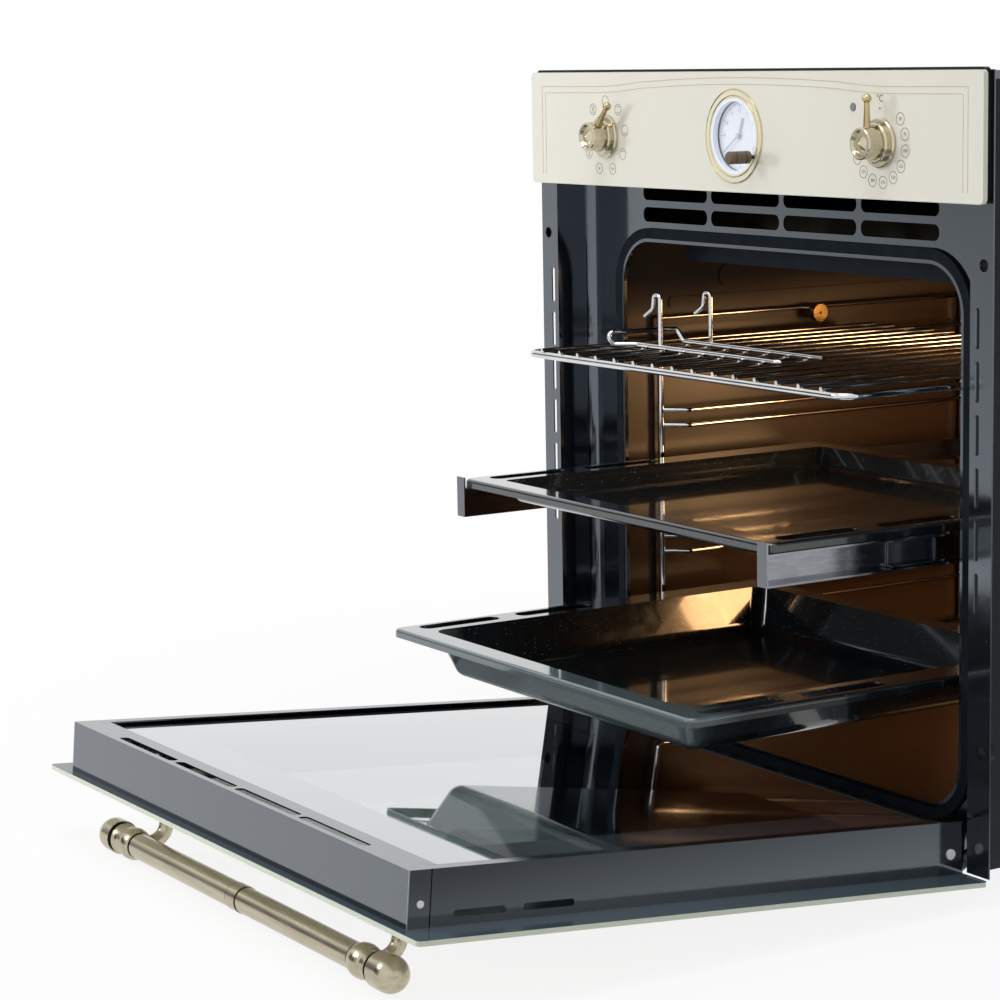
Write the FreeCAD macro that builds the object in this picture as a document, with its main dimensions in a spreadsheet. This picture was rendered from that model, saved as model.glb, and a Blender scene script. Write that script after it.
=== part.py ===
import FreeCAD, Part
import Sketcher
import math
import os
from types import SimpleNamespace

# A built-in oven, shown with its door open and its rack and trays drawn out.
# Millimetres: X to the right, Y into the oven from the flange's front face, Z up from the base.
# Door pieces are drawn about the hinge axis, lying flat, and then tilted by the door's opening angle.

vec = FreeCAD.Vector
doc = FreeCAD.newDocument("BuiltInOven")
sheet = doc.addObject("Spreadsheet::Sheet", "Sizes")

driving = {
    # Clearances shared by pieces that fit together
    "seat_gap": 0.3,
    "running_gap": 0.05,
    "cut_margin": 1,
    "slot_flat": 0.3,
    # Front frame
    "front_width": 595,
    "front_height": 592,
    "frame_sheet": 1.2,
    "flange_column": 24.5,
    "recess_depth": 37.5,
    "recess_drop": 84,
    "opening_side": 50.3,
    "opening_lip": 8,
    "opening_corner": 38,
    "bead_width": 2.8,
    "bead_rise": 2.5,
    "window_side": 35.5,
    "window_drop": 77,
    "window_top": 7,
    "window_corner": 6,
    "vent_length": 93,
    "vent_height": 12.6,
    "vent_pitch": 98.6,
    "vent_drop": 128,
    "vent_row_pitch": 18.5,
    "vent_corner": 5.8,
    "screw_hole_radius": 4.7,
    "bush_wall": 1.5,
    "bush_length": 8,
    "screw_side": 10,
    "screw_spacing_z": 359,
    "screw_low": 93.5,
    "column_slot_side": 16.5,
    "column_slot_width": 4.5,
    "column_slot_length": 29.9,
    "column_slot_pitch": 38.9,
    "column_slot_floor": 197.3,
    "column_slot_corner": 2,
    # Casing
    "casing_side": 19.5,
    "casing_depth": 548,
    "casing_drop": 7,
    "casing_sheet": 1,
    # Cavity and its lining pieces
    "cavity_side_gap": 42,
    "cavity_floor": 22,
    "cavity_drop": 137,
    "cavity_rear_gap": 50,
    "cavity_sheet": 1.2,
    "cavity_corner": 25,
    "rib_rise": 1.5,
    "rib_height": 21,
    "rib_drop": 46,
    "rib_front": 147,
    "low_rib_height": 10,
    "low_rib_drop": 67,
    "low_rib_front": 92,
    "rib_rear_gap": 38,
    "insulation_side": 14,
    "insulation_top": 18,
    "insulation_start": 110,
    "insulation_short": 18,
    "insulation_floor": 3,
    "insulation_bed": 6,
    "gasket_width": 8.6,
    "gasket_height": 2.8,
    "deflector_side": 46,
    "deflector_front": 78,
    "deflector_sheet": 2,
    "deflector_drop": 26,
    "deflector_corner": 10,
    "deflector_bevel": 3,
    # Heating elements
    "element_radius": 3.2,
    "element_bend": 14,
    "element_tail": 10,
    "grill_drop": 10,
    "grill_side": 66,
    "grill_inner_width": 190,
    "grill_leg_spacing": 50,
    "grill_front": 110,
    "grill_turn": 150,
    "grill_rear_gap": 98,
    "base_element_width": 300,
    "base_element_front": 130,
    "base_element_rear_gap": 28,
    "ring_radius": 96,
    "ring_stand_off": 16,
    "ring_leg_angle": 8,
    # Fan, lamp and blower
    "fan_sink": 3.5,
    "fan_radius": 74,
    "fan_depth": 22,
    "fan_plate": 1.2,
    "fan_blade_margin": 1.5,
    "fan_hub_radius": 12,
    "fan_stand_off": 8,
    "fan_shaft_radius": 4,
    "fan_shaft_grip": 24,
    "motor_radius": 34,
    "motor_length": 34,
    "cover_side": 78,
    "cover_height": 290,
    "cover_depth": 41,
    "cover_sheet": 1.2,
    "cover_corner": 20,
    "cover_hole_radius": 7,
    "cover_hole_ring": 34,
    "cover_slot_length": 180,
    "cover_slot_width": 14,
    "cover_slot_inset": 26,
    "lamp_side": 40,
    "lamp_drop": 59,
    "lamp_glass_radius": 27,
    "lamp_glass_depth": 16,
    "lamp_glass_wall": 3,
    "lamp_room": 6,
    "lamp_bulb_radius": 12,
    "lamp_holder_radius": 22,
    "lamp_holder_depth": 36,
    "blower_width": 240,
    "blower_depth": 92,
    "blower_height": 96,
    "blower_wall": 3,
    "blower_rear_gap": 48,
    "blower_mouth": 34,
    "blower_motor_radius": 27,
    "blower_motor_length": 42,
    "impeller_radius": 38,
    "impeller_plate": 2,
    "impeller_blade": 9,
    "impeller_blade_sheet": 1.4,
    "impeller_blade_margin": 0.5,
    "impeller_end_gap": 3,
    "impeller_shaft_radius": 3,
    "terminal_width": 76,
    "terminal_height": 52,
    "terminal_depth": 26,
    "terminal_side": 88,
    "terminal_z": 90,
    "terminal_gland_radius": 7,
    "terminal_gland_depth": 20,
    # Control panel
    "panel_side_gap": 0.8,
    "panel_height": 95.4,
    "panel_glass_thick": 4,
    "panel_corner": 4,
    "chassis_side_gap": 3.5,
    "chassis_drop": 93,
    "chassis_rise": 2,
    "chassis_thick": 5.2,
    "knob_spacing": 364,
    "knob_drop": 53.5,
    "knob_radius": 12,
    "knob_length": 20,
    "knob_rim": 2,
    "knob_dish": 2.8,
    "knob_dish_slope": 1.4,
    "knob_dish_radius": 5.5,
    "knob_cone": 3.8,
    "bezel_radius": 18.5,
    "bezel_height": 3,
    "bezel_step_radius": 15,
    "bezel_step_height": 4,
    "bezel_chamfer": 0.9,
    "shaft_radius": 3,
    "shaft_length": 16,
    "shaft_grip": 6,
    "lever_height": 12.8,
    "lever_radius": 3,
    "lever_tip_radius": 1.9,
    "lever_socket": 8,
    "lever_reach": 33,
    "lever_ball_radius": 3.6,
    "function_lever_angle": 40,
    "thermostat_lever_angle": 0,
    "switch_width": 40,
    "switch_depth": 38,
    "thermostat_width": 46,
    "thermostat_depth": 44,
    "indicator_x": 150,
    "indicator_drop": 27.2,
    "indicator_radius": 3,
    "indicator_rise": 0.6,
    "indicator_depth": 14,
    "indicator_base_radius": 5,
    # Clock
    "clock_drop": 51,
    "clock_ring_radius": 37.5,
    "clock_tube_radius": 33,
    "clock_dial_radius": 27.2,
    "clock_ring_height": 0.5,
    "clock_ring_bead": 0.6,
    "clock_inner_ring_radius": 32,
    "clock_dial_depth": 5.7,
    "clock_glass_thick": 1.2,
    "movement_width": 80,
    "movement_height": 48,
    "movement_depth": 40,
    "arbor_radius": 1.2,
    "hour_tube_radius": 2.2,
    "arbor_grip": 5,
    "hand_thick": 0.6,
    "hand_gap": 0.7,
    "minute_hand_length": 22,
    "minute_hand_tail": 4,
    "minute_hand_width": 1.4,
    "minute_hand_angle": 234,
    "hour_hand_length": 15,
    "hour_hand_width": 2,
    "hour_hand_angle": 19.5,
    "set_knob_x": 26.3,
    "set_knob_drop": 15.9,
    "set_stem_radius": 1.5,
    "set_stem_length": 5.8,
    "set_knob_radius": 5.1,
    "set_knob_length": 19.5,
    "set_knob_groove": 0.9,
    "set_knob_collar": 3,
    # Ladders and runners
    "post_stand_off": 7,
    "post_radius": 3,
    "ladder_front": 78,
    "ladder_rear_gap": 71,
    "ladder_floor": 64,
    "level_wire_radius": 2,
    "level_run_in": 18,
    "level_bend": 6,
    "first_level": 124.7,
    "top_level_drop": 104.3,
    "level_drop": 13.5,
    "nut_y": 250,
    "nut_drop": 84.5,
    "nut_stud_radius": 3,
    "nut_radius": 8,
    "nut_length": 7,
    "nut_grip": 1,
    "nut_bore_radius": 1.3,
    "nut_bore_depth": 3,
    "runner_drop": 15.3,
    "runner_height": 24.6,
    "runner_width": 11.5,
    "runner_overhang": 2.5,
    "runner_sheet": 1.5,
    "runner_slip": 0.5,
    "runner_length": 330,
    "runner_front": -142,
    "runner_tab": 9,
    "runner_fixed_front": 80,
    "runner_middle_length": 310,
    "runner_middle_front": -22.5,
    # Trays
    "tray_side_gap": 22,
    "tray_sheet": 1.2,
    "tray_lip": 7,
    "tray_rim_corner": 8,
    "tray_rim_roll": 3,
    "tray_slot_length": 76,
    "tray_slot_width": 16,
    "tray_slot_pitch": 95,
    "tray_slot_inset": 7.5,
    "shallow_front": -138,
    "shallow_depth_y": 378,
    "shallow_rise": 18,
    "shallow_side_rim": 31,
    "shallow_end_rim": 19,
    "shallow_draft": 9,
    "shallow_round": 8,
    "deep_front": -210,
    "deep_depth_y": 383.5,
    "deep_rise": 38,
    "deep_side_rim": 31,
    "deep_end_rim": 19,
    "deep_draft": 14,
    "deep_round": 14,
    # Wire rack and its stand
    "rack_wire_radius": 3,
    "rack_front": -70,
    "rack_depth": 358.5,
    "rack_bend": 12,
    "rack_bar_radius": 1.75,
    "rack_bar_side": 24,
    "rack_cross_radius": 2.7,
    "rack_cross_inset": 6,
    "rack_weld": 0.6,
    "stand_wire_radius": 2,
    "stand_bend": 4,
    "stand_front": -3,
    "stand_rear": 43,
    "stand_right": 48,
    "stand_toe": 17,
    "stand_left": -146,
    "stand_flare": 14,
    "stand_flare_run": 15,
    "stand_end_x": -163,
    "stand_end_front": -26,
    "stand_end_skew": 13,
    "stand_end_rear": 40,
    "stand_rise": 10,
    "stand_hook_radius": 1.8,
    "stand_hook_bend": 3.5,
    "stand_hook_height": 43,
    "stand_hook_x": -113,
    "stand_hook_skew": 8,
    "hook_crown": 8.5,
    "hook_leg": 12,
    "hook_leg_lean": 2,
    "hook_tip_run": 11.5,
    "hook_tip_drop": 6.5,
    # Door, measured along it from the lower glass edge and up from the glass's middle plane
    "door_open_angle": 85.11,
    "hinge_y": 0.4,
    "hinge_z": 4.5,
    "hinge_inset": 1.07,
    "hinge_rise": 8,
    "door_glass_start": 1.1,
    "door_glass_drop": 102,
    "door_glass_thick": 4,
    "door_glass_corner": 4,
    "door_frame_gap": 3,
    "door_frame_start": 2.4,
    "door_frame_drop": 7.5,
    "door_frame_top": 42,
    "door_sheet": 1.2,
    "door_seam_drop": 17.5,
    "door_flange": 10,
    "door_ledge": 20,
    "door_base_flange": 15,
    "door_ledge_start": 95,
    "door_flange_start": 26,
    "door_top_face": 27,
    "door_slot_length": 94,
    "door_slot_pitch": 100,
    "door_slot_width": 8,
    "door_slot_drop": 9.5,
    "side_slot_length": 41,
    "side_slot_pitch": 55.4,
    "side_slot_drop": 132.2,
    "side_slot_height": 5,
    "side_slot_t": 10,
    "bottom_rail_start": 22,
    "bottom_rail_end": 50,
    "bottom_rail_top": 33,
    "inner_glass_top": 38.7,
    "inner_glass_thick": 4,
    "inner_glass_gap": 3,
    "inner_glass_start": 26,
    "inner_glass_drop": 29.5,
    "inner_glass_corner": 3,
    "middle_glass_base": 16.7,
    "middle_glass_thick": 3.2,
    "middle_glass_gap": 17,
    "middle_glass_start": 54,
    "middle_glass_drop": 32.5,
    "rivet_drop": 9.5,
    "rivet_t": 18.6,
    "rivet_radius": 2.6,
    "rivet_rise": 0.8,
    "hinge_screw_s": 15.8,
    "hinge_screw_t": 17.7,
    "hinge_screw_radius": 4,
    "hinge_screw_rise": 1.2,
    # Hinges
    "arm_inset": 9,
    "arm_thick": 5,
    "arm_eye_radius": 4.3,
    "arm_heel": 8,
    "arm_slot_room": 2,
    "arm_slot_corner": 1,
    "arm_neck": 15,
    "arm_neck_rise": 1,
    "arm_shoulder": 2,
    "arm_top": 22,
    "arm_tail": 44,
    "pin_radius": 2.5,
    "pin_overlap": 0.4,
    "ear_outer_thick": 4.4,
    "ear_inner_thick": 1.4,
    "ear_length": 84,
    "ear_root": 34,
    "ear_height": 30,
    "ear_toe": 3,
    "ear_slope": 8,
    "receiver_wall": 1.6,
    "receiver_depth": 50,
    # Handle
    "handle_inset": 26,
    "handle_drop": 42,
    "handle_radius": 10,
    "handle_groove": 1.2,
    "handle_groove_width": 1.6,
    "handle_band": 7,
    "collar_inner": 178,
    "collar_length": 27,
    "collar_radius": 13,
    "collar_neck_radius": 10.5,
    "ring_thick": 2,
    "outer_ring_thick": 4,
    "outer_ring_radius": 12,
    "cap_length": 26,
    "cap_radius": 13.5,
    "post_neck_radius": 6,
    "post_reach": 27,
    "post_turn": 15,
    "post_foot_radius": 10,
    "post_foot_height": 3,
}


def as_size(value):
    if isinstance(value, Size):
        return value
    return Size(float(value), f"({float(value)!r})")


class Size:
    # A length with its number and the expression that gives that number in the sheet
    def __init__(self, number, text):
        self.number = number
        self.text = text

    def __add__(self, other):
        other = as_size(other)
        return Size(self.number + other.number, f"({self.text} + {other.text})")

    def __sub__(self, other):
        other = as_size(other)
        return Size(self.number - other.number, f"({self.text} - {other.text})")

    def __mul__(self, other):
        other = as_size(other)
        return Size(self.number * other.number, f"({self.text} * {other.text})")

    def __truediv__(self, other):
        other = as_size(other)
        return Size(self.number / other.number, f"({self.text} / {other.text})")

    def __radd__(self, other):
        return as_size(other) + self

    def __rsub__(self, other):
        return as_size(other) - self

    def __rmul__(self, other):
        return as_size(other) * self

    def __neg__(self):
        return as_size(0) - self

    def __float__(self):
        return self.number


def fill_sheet():
    for row, (name, number) in enumerate(driving.items(), 1):
        sheet.set(f"A{row}", name)
        sheet.set(f"B{row}", str(number))
        sheet.setAlias(f"B{row}", name)
    doc.recompute()
    return SimpleNamespace(**{name: Size(float(sheet.get(name)), f"Sizes.{name}") for name in driving})


d = fill_sheet()
nodes = []
counts = SimpleNamespace(
    vents=4, column_slots=6, cover_holes=8, fan_blades=12, impeller_blades=16, levels=5, rack_bars=15,
    door_slots=4, side_slots=2, tray_slots=2,
)

# Places that several pieces share
half_front = d.front_width / 2
half_recess = half_front - d.flange_column
half_opening = half_recess - d.opening_side
half_casing = half_front - d.casing_side
half_cavity = half_casing - d.cavity_side_gap
half_tray = half_cavity - d.tray_side_gap
half_door = half_recess - d.door_frame_gap
recess_roof = d.front_height - d.recess_drop
casing_roof = d.front_height - d.casing_drop
cavity_roof = d.front_height - d.cavity_drop
opening_floor = d.cavity_floor + d.opening_lip
opening_roof = cavity_roof - d.opening_lip
panel_floor = d.front_height - d.panel_height
knob_z = d.front_height - d.knob_drop
clock_z = d.front_height - d.clock_drop
indicator_z = d.front_height - d.indicator_drop
frame_back = d.recess_depth + d.frame_sheet
rear_inner = d.casing_depth - d.casing_sheet
cavity_back = d.casing_depth - d.cavity_rear_gap
wall_back = cavity_back + d.cavity_sheet
fan_z = (d.cavity_floor + cavity_roof) / 2 - d.fan_sink
lamp_x = half_cavity - d.lamp_side
lamp_z = cavity_roof - d.lamp_drop
nut_z = cavity_roof - d.nut_drop
ladder_rear = cavity_back - d.ladder_rear_gap
level_pitch = (cavity_roof - d.top_level_drop - d.first_level) / (counts.levels - 1)
panel_front = -(d.chassis_thick + d.panel_glass_thick)
post_x = half_cavity - d.post_stand_off
level_x = half_tray - d.tray_sheet - d.seat_gap
runner_level = d.first_level + 2 * level_pitch
runner_floor = runner_level - d.runner_drop
runner_top = runner_floor + d.runner_height
runner_outer = half_tray + d.runner_overhang
deep_lip_floor = d.first_level + d.level_wire_radius + d.seat_gap
top_level = d.first_level + (counts.levels - 1) * level_pitch
rack_z = top_level + d.level_wire_radius + d.seat_gap + d.rack_wire_radius
bar_z = rack_z + d.rack_wire_radius + d.rack_bar_radius - d.rack_weld
door_glass_end = d.front_height - d.door_glass_drop
door_frame_end = door_glass_end - d.door_frame_drop
door_seam = door_frame_end - d.door_seam_drop
arm_x = half_door - d.arm_inset


def place(item, x, y, z, rotation=None):
    spot = [as_size(v) for v in (x, y, z)]
    item.Placement = FreeCAD.Placement(vec(*[v.number for v in spot]), rotation or FreeCAD.Rotation())
    for letter, value in zip("xyz", spot):
        item.setExpression(f"Placement.Base.{letter}", value.text)
    return item


def turn_about_y(item, x, y, z, angle):
    place(item, x, y, z, FreeCAD.Rotation(vec(0, 1, 0), angle.number))
    if angle.number:
        item.setExpression("Placement.Rotation.Angle", angle.text)
    return item


def on_door(item):
    lean = d.door_open_angle - 90
    place(item, 0, d.hinge_y, d.hinge_z, FreeCAD.Rotation(vec(-1, 0, 0), -lean.number))
    item.setExpression("Placement.Rotation.Angle", (-lean).text)
    return item


def node(item, label):
    item.Label = label
    nodes.append(item)
    return item


def box(name, x, y, z):
    item = doc.addObject("Part::Box", name)
    for prop, span in (("Length", x), ("Width", y), ("Height", z)):
        item.setExpression(prop, (as_size(span[1]) - span[0]).text)
    return place(item, x[0], y[0], z[0])


turned = {
    "X": FreeCAD.Rotation(vec(0, 1, 0), 90),
    "Y": FreeCAD.Rotation(vec(1, 0, 0), -90),
    "Z": FreeCAD.Rotation(),
}


def rod(name, axis, centre, span, radius):
    item = doc.addObject("Part::Cylinder", name)
    item.setExpression("Radius", as_size(radius).text)
    item.setExpression("Height", (as_size(span[1]) - span[0]).text)
    spot = list(centre)
    spot.insert("XYZ".index(axis), span[0])
    return place(item, *spot, turned[axis])


def joined(name, pieces):
    item = doc.addObject("Part::MultiFuse", name)
    item.Shapes = pieces
    item.Refine = True
    return item


def without(name, base, tools):
    item = doc.addObject("Part::Cut", name)
    item.Base = base
    item.Tool = tools[0] if len(tools) == 1 else joined(name + "_tools", tools)
    item.Refine = True
    return item


def group(name, pieces):
    item = doc.addObject("Part::Compound", name)
    item.Links = pieces
    return item


def on_both_sides(name, maker):
    return group(name, [maker(side, f"{name}_{word}") for side, word in ((-1, "left"), (1, "right"))])


def solid(name, shape):
    item = doc.addObject("Part::Feature", name)
    item.Shape = shape
    item.Placement = FreeCAD.Placement()
    return item


def span_of(side, low, high):
    # The span between two distances from the middle, on the left or the right
    return (low, high) if side > 0 else (-as_size(high), -as_size(low))


class Outline:
    # A sketch on one of a body's own planes, with its points tied to the sheet
    def __init__(self, body, name, plane, lift=0, shift=0):
        self.body = body
        self.sketch = body.newObject("Sketcher::SketchObject", name)
        base = [item for item in body.Origin.OriginFeatures if item.Role == plane][0]
        self.sketch.AttachmentSupport = [(base, "")]
        self.sketch.MapMode = "FlatFace"
        offset = (as_size(shift), as_size(lift))
        self.sketch.AttachmentOffset = FreeCAD.Placement(
            vec(0, offset[0].number, offset[1].number), FreeCAD.Rotation()
        )
        self.sketch.setExpression("AttachmentOffset.Base.y", offset[0].text)
        self.sketch.setExpression("AttachmentOffset.Base.z", offset[1].text)

    def hold(self, kind, where, value):
        value = as_size(value)
        index = self.sketch.addConstraint(Sketcher.Constraint(kind, *where, value.number))
        self.sketch.setExpression(f"Constraints[{index}]", value.text)

    def polygon(self, points):
        first = self.sketch.GeometryCount
        corners = [(as_size(a), as_size(b)) for a, b in points]
        count = len(corners)
        for i, (a, b) in enumerate(corners):
            end = corners[(i + 1) % count]
            line = Part.LineSegment(vec(a.number, b.number, 0), vec(end[0].number, end[1].number, 0))
            self.sketch.addGeometry(line, False)
        for i in range(count):
            follower = first + (i + 1) % count
            self.sketch.addConstraint(Sketcher.Constraint("Coincident", first + i, 2, follower, 1))
        for i, (a, b) in enumerate(corners):
            self.hold("DistanceX", (-1, 1, first + i, 1), a)
            self.hold("DistanceY", (-1, 1, first + i, 1), b)
        return self

    def rounded(self, across, up, corner):
        first = self.sketch.GeometryCount
        x0, x1 = [as_size(v) for v in across]
        y0, y1 = [as_size(v) for v in up]
        r = as_size(corner)
        left, right = x0.number + r.number, x1.number - r.number
        low, high = y0.number + r.number, y1.number - r.number
        quarter = math.pi / 2
        sides = (
            ((left, y0.number), (right, y0.number), (right, low), -quarter),
            ((x1.number, low), (x1.number, high), (right, high), 0),
            ((right, y1.number), (left, y1.number), (left, high), quarter),
            ((x0.number, high), (x0.number, low), (left, low), 2 * quarter),
        )
        for start, end, centre, angle in sides:
            self.sketch.addGeometry(Part.LineSegment(vec(*start, 0), vec(*end, 0)), False)
            circle = Part.Circle(vec(*centre, 0), vec(0, 0, 1), r.number)
            self.sketch.addGeometry(Part.ArcOfCircle(circle, angle, angle + quarter), False)
        add = self.sketch.addConstraint
        for i in range(8):
            add(Sketcher.Constraint("Tangent", first + i, 2, first + (i + 1) % 8, 1))
        for i, kind in ((0, "Horizontal"), (2, "Vertical"), (4, "Horizontal"), (6, "Vertical")):
            add(Sketcher.Constraint(kind, first + i))
        for i in (3, 5, 7):
            add(Sketcher.Constraint("Equal", first + 1, first + i))
        self.hold("Radius", (first + 1,), r)
        self.hold("DistanceY", (-1, 1, first, 1), y0)
        self.hold("DistanceY", (-1, 1, first + 4, 1), y1)
        self.hold("DistanceX", (-1, 1, first + 2, 1), x1)
        self.hold("DistanceX", (-1, 1, first + 6, 1), x0)
        return self

    def circle(self, a, b, radius):
        a, b, radius = as_size(a), as_size(b), as_size(radius)
        circle = Part.Circle(vec(a.number, b.number, 0), vec(0, 0, 1), radius.number)
        index = self.sketch.addGeometry(circle, False)
        self.hold("Radius", (index,), radius)
        self.hold("DistanceX", (-1, 1, index, 3), a)
        self.hold("DistanceY", (-1, 1, index, 3), b)
        return self

    def pad(self, length, back=False):
        feature = self.body.newObject("PartDesign::Pad", self.sketch.Name + "_pad")
        feature.Profile = self.sketch
        feature.setExpression("Length", as_size(length).text)
        feature.Reversed = back
        doc.recompute()
        return feature

    def pocket(self, length, back=False):
        before = self.body.Shape.Volume
        feature = self.body.newObject("PartDesign::Pocket", self.sketch.Name + "_pocket")
        feature.Profile = self.sketch
        feature.setExpression("Length", as_size(length).text)
        feature.Reversed = back
        doc.recompute()
        if self.body.Shape.Volume >= before:
            raise RuntimeError(f"{feature.Name} cuts nothing")
        return feature

    def revolve(self, axis):
        feature = self.body.newObject("PartDesign::Revolution", self.sketch.Name + "_turned")
        feature.Profile = self.sketch
        feature.ReferenceAxis = (self.sketch, [axis])
        feature.Angle = 360
        doc.recompute()
        return feature

    def row(self, feature, axis, length, count):
        pattern = self.body.newObject("PartDesign::LinearPattern", feature.Name + "_row")
        pattern.Originals = [feature]
        pattern.Direction = (self.sketch, [axis])
        pattern.setExpression("Length", length.text)
        pattern.Occurrences = count
        self.body.Tip = pattern
        doc.recompute()

    def spin(self, feature, count):
        pattern = self.body.newObject("PartDesign::PolarPattern", feature.Name + "_ring")
        pattern.Originals = [feature]
        pattern.Axis = (self.sketch, ["N_Axis"])
        pattern.Angle = 360
        pattern.Occurrences = count
        self.body.Tip = pattern
        doc.recompute()


def new_body(name):
    return doc.addObject("PartDesign::Body", name)


def bent_wire(points, radius, bend):
    # A round wire along straight runs, with a bend of one radius at each inner point
    points = [vec(*[float(v) for v in p]) for p in points]
    radius, bend = float(radius), float(bend)
    edges = []
    start = points[0]
    for before, corner, after in zip(points, points[1:], points[2:]):
        inward = (before - corner).normalize()
        outward = (after - corner).normalize()
        half = inward.getAngle(outward) / 2
        reach = bend / math.tan(half)
        first, last = corner + inward * reach, corner + outward * reach
        middle_way = (inward + outward).normalize()
        middle = corner + middle_way * (bend / math.sin(half) - bend)
        edges.append(Part.LineSegment(start, first).toShape())
        edges.append(Part.Arc(first, middle, last).toShape())
        start = last
    edges.append(Part.LineSegment(start, points[-1]).toShape())
    profile = Part.Wire(Part.Circle(points[0], points[1] - points[0], radius).toShape())
    return Part.Wire(edges).makePipeShell([profile], True, False)


def straight_wire(start, end, radius):
    start, end = [vec(*[float(v) for v in p]) for p in (start, end)]
    return Part.makeCylinder(float(radius), (end - start).Length, start, end - start)


def make_front_frame():
    body = new_body("front_frame_body")
    walls = half_recess + d.frame_sheet
    ceiling = recess_roof + d.frame_sheet
    flange = Outline(body, "flange_outline", "XZ_Plane")
    flange.polygon([
        (-half_front, 0), (-half_recess, 0), (-half_recess, recess_roof), (half_recess, recess_roof),
        (half_recess, 0), (half_front, 0), (half_front, d.front_height), (-half_front, d.front_height),
    ])
    half_window = half_front - d.window_side
    window_up = (d.front_height - d.window_drop, d.front_height - d.window_top)
    flange.rounded((-half_window, half_window), window_up, d.window_corner)
    for side in (-1, 1):
        for height in (d.screw_low, d.screw_low + d.screw_spacing_z):
            flange.circle(side * (half_front - d.screw_side), height, d.screw_hole_radius)
    flange.pad(d.frame_sheet, back=True)
    recess = Outline(body, "recess_wall_outline", "XZ_Plane")
    recess.polygon([
        (-walls, 0), (-half_recess, 0), (-half_recess, recess_roof), (half_recess, recess_roof),
        (half_recess, 0), (walls, 0), (walls, ceiling), (-walls, ceiling),
    ])
    recess.pad(frame_back, back=True)
    back = Outline(body, "recess_back_outline", "XZ_Plane", lift=-d.recess_depth)
    back.polygon([(-walls, 0), (walls, 0), (walls, ceiling), (-walls, ceiling)])
    opening = (-half_opening, half_opening)
    opening_up = (opening_floor, opening_roof)
    back.rounded(opening, opening_up, d.opening_corner)
    slot = d.arm_thick / 2 + d.seat_gap
    for side in (-1, 1):
        across = (side * arm_x - slot, side * arm_x + slot)
        back.rounded(across, (d.arm_heel - d.arm_slot_room, d.arm_top + d.seat_gap), d.arm_slot_corner)
    back.pad(d.frame_sheet, back=True)
    bead = Outline(body, "bead_outline", "XZ_Plane", lift=d.bead_rise - d.recess_depth)
    bead.rounded(opening, opening_up, d.opening_corner)
    bead_across = (-half_opening - d.bead_width, half_opening + d.bead_width)
    bead_up = (opening_floor - d.bead_width, opening_roof + d.bead_width)
    bead.rounded(bead_across, bead_up, d.opening_corner + d.bead_width)
    bead.pad(d.bead_rise, back=True)
    vents = Outline(body, "vent_outline", "XZ_Plane", lift=-d.recess_depth)
    vent_run = (counts.vents - 1) * d.vent_pitch
    vent_left = -(vent_run + d.vent_length) / 2
    vent_floor = d.front_height - d.vent_drop
    for floor in (vent_floor, vent_floor + d.vent_row_pitch):
        vents.rounded((vent_left, vent_left + d.vent_length), (floor, floor + d.vent_height), d.vent_corner)
    vents.row(vents.pocket(2 * d.frame_sheet), "H_Axis", vent_run, counts.vents)
    slots = Outline(body, "column_slot_outline", "XZ_Plane")
    slot_up = (d.column_slot_floor, d.column_slot_floor + d.column_slot_length)
    for side in (-1, 1):
        middle = side * (half_front - d.column_slot_side)
        across = (middle - d.column_slot_width / 2, middle + d.column_slot_width / 2)
        slots.rounded(across, slot_up, d.column_slot_corner)
    slot_run = (counts.column_slots - 1) * d.column_slot_pitch
    slots.row(slots.pocket(2 * d.frame_sheet), "V_Axis", slot_run, counts.column_slots)
    node(body, "front_frame")


def make_screw_bushes():
    bores = d.screw_hole_radius + d.seat_gap
    along = (d.frame_sheet, d.frame_sheet + d.bush_length)
    bored = (d.frame_sheet - d.cut_margin, d.frame_sheet + d.bush_length + d.cut_margin)
    bushes = []
    for side, word in ((-1, "left"), (1, "right")):
        for height, level in ((d.screw_low, "lower"), (d.screw_low + d.screw_spacing_z, "upper")):
            name = f"screw_bush_{word}_{level}"
            centre = (side * (half_front - d.screw_side), height)
            barrel = rod(name + "_barrel", "Y", centre, along, bores + d.bush_wall)
            bushes.append(without(name, barrel, [rod(name + "_bore", "Y", centre, bored, bores)]))
    node(group("screw_bush_set", bushes), "screw_bushes")


def make_casing():
    inner = half_casing - d.casing_sheet
    base = box("base_sheet", (-inner, inner), (frame_back, rear_inner), (0, d.casing_sheet))
    node(base, "base_panel")
    wrap = new_body("wrap_body")
    outline = Outline(wrap, "wrap_outline", "XZ_Plane", lift=-d.frame_sheet)
    crown = casing_roof - d.casing_sheet
    outline.polygon([
        (-half_casing, 0), (-inner, 0), (-inner, crown), (inner, crown),
        (inner, 0), (half_casing, 0), (half_casing, casing_roof), (-half_casing, casing_roof),
    ])
    outline.pad(d.casing_depth - d.frame_sheet, back=True)
    node(wrap, "casing_wrap")
    rear = box("rear_sheet", (-inner, inner), (rear_inner, d.casing_depth), (0, crown))
    node(rear, "rear_panel")


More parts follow.
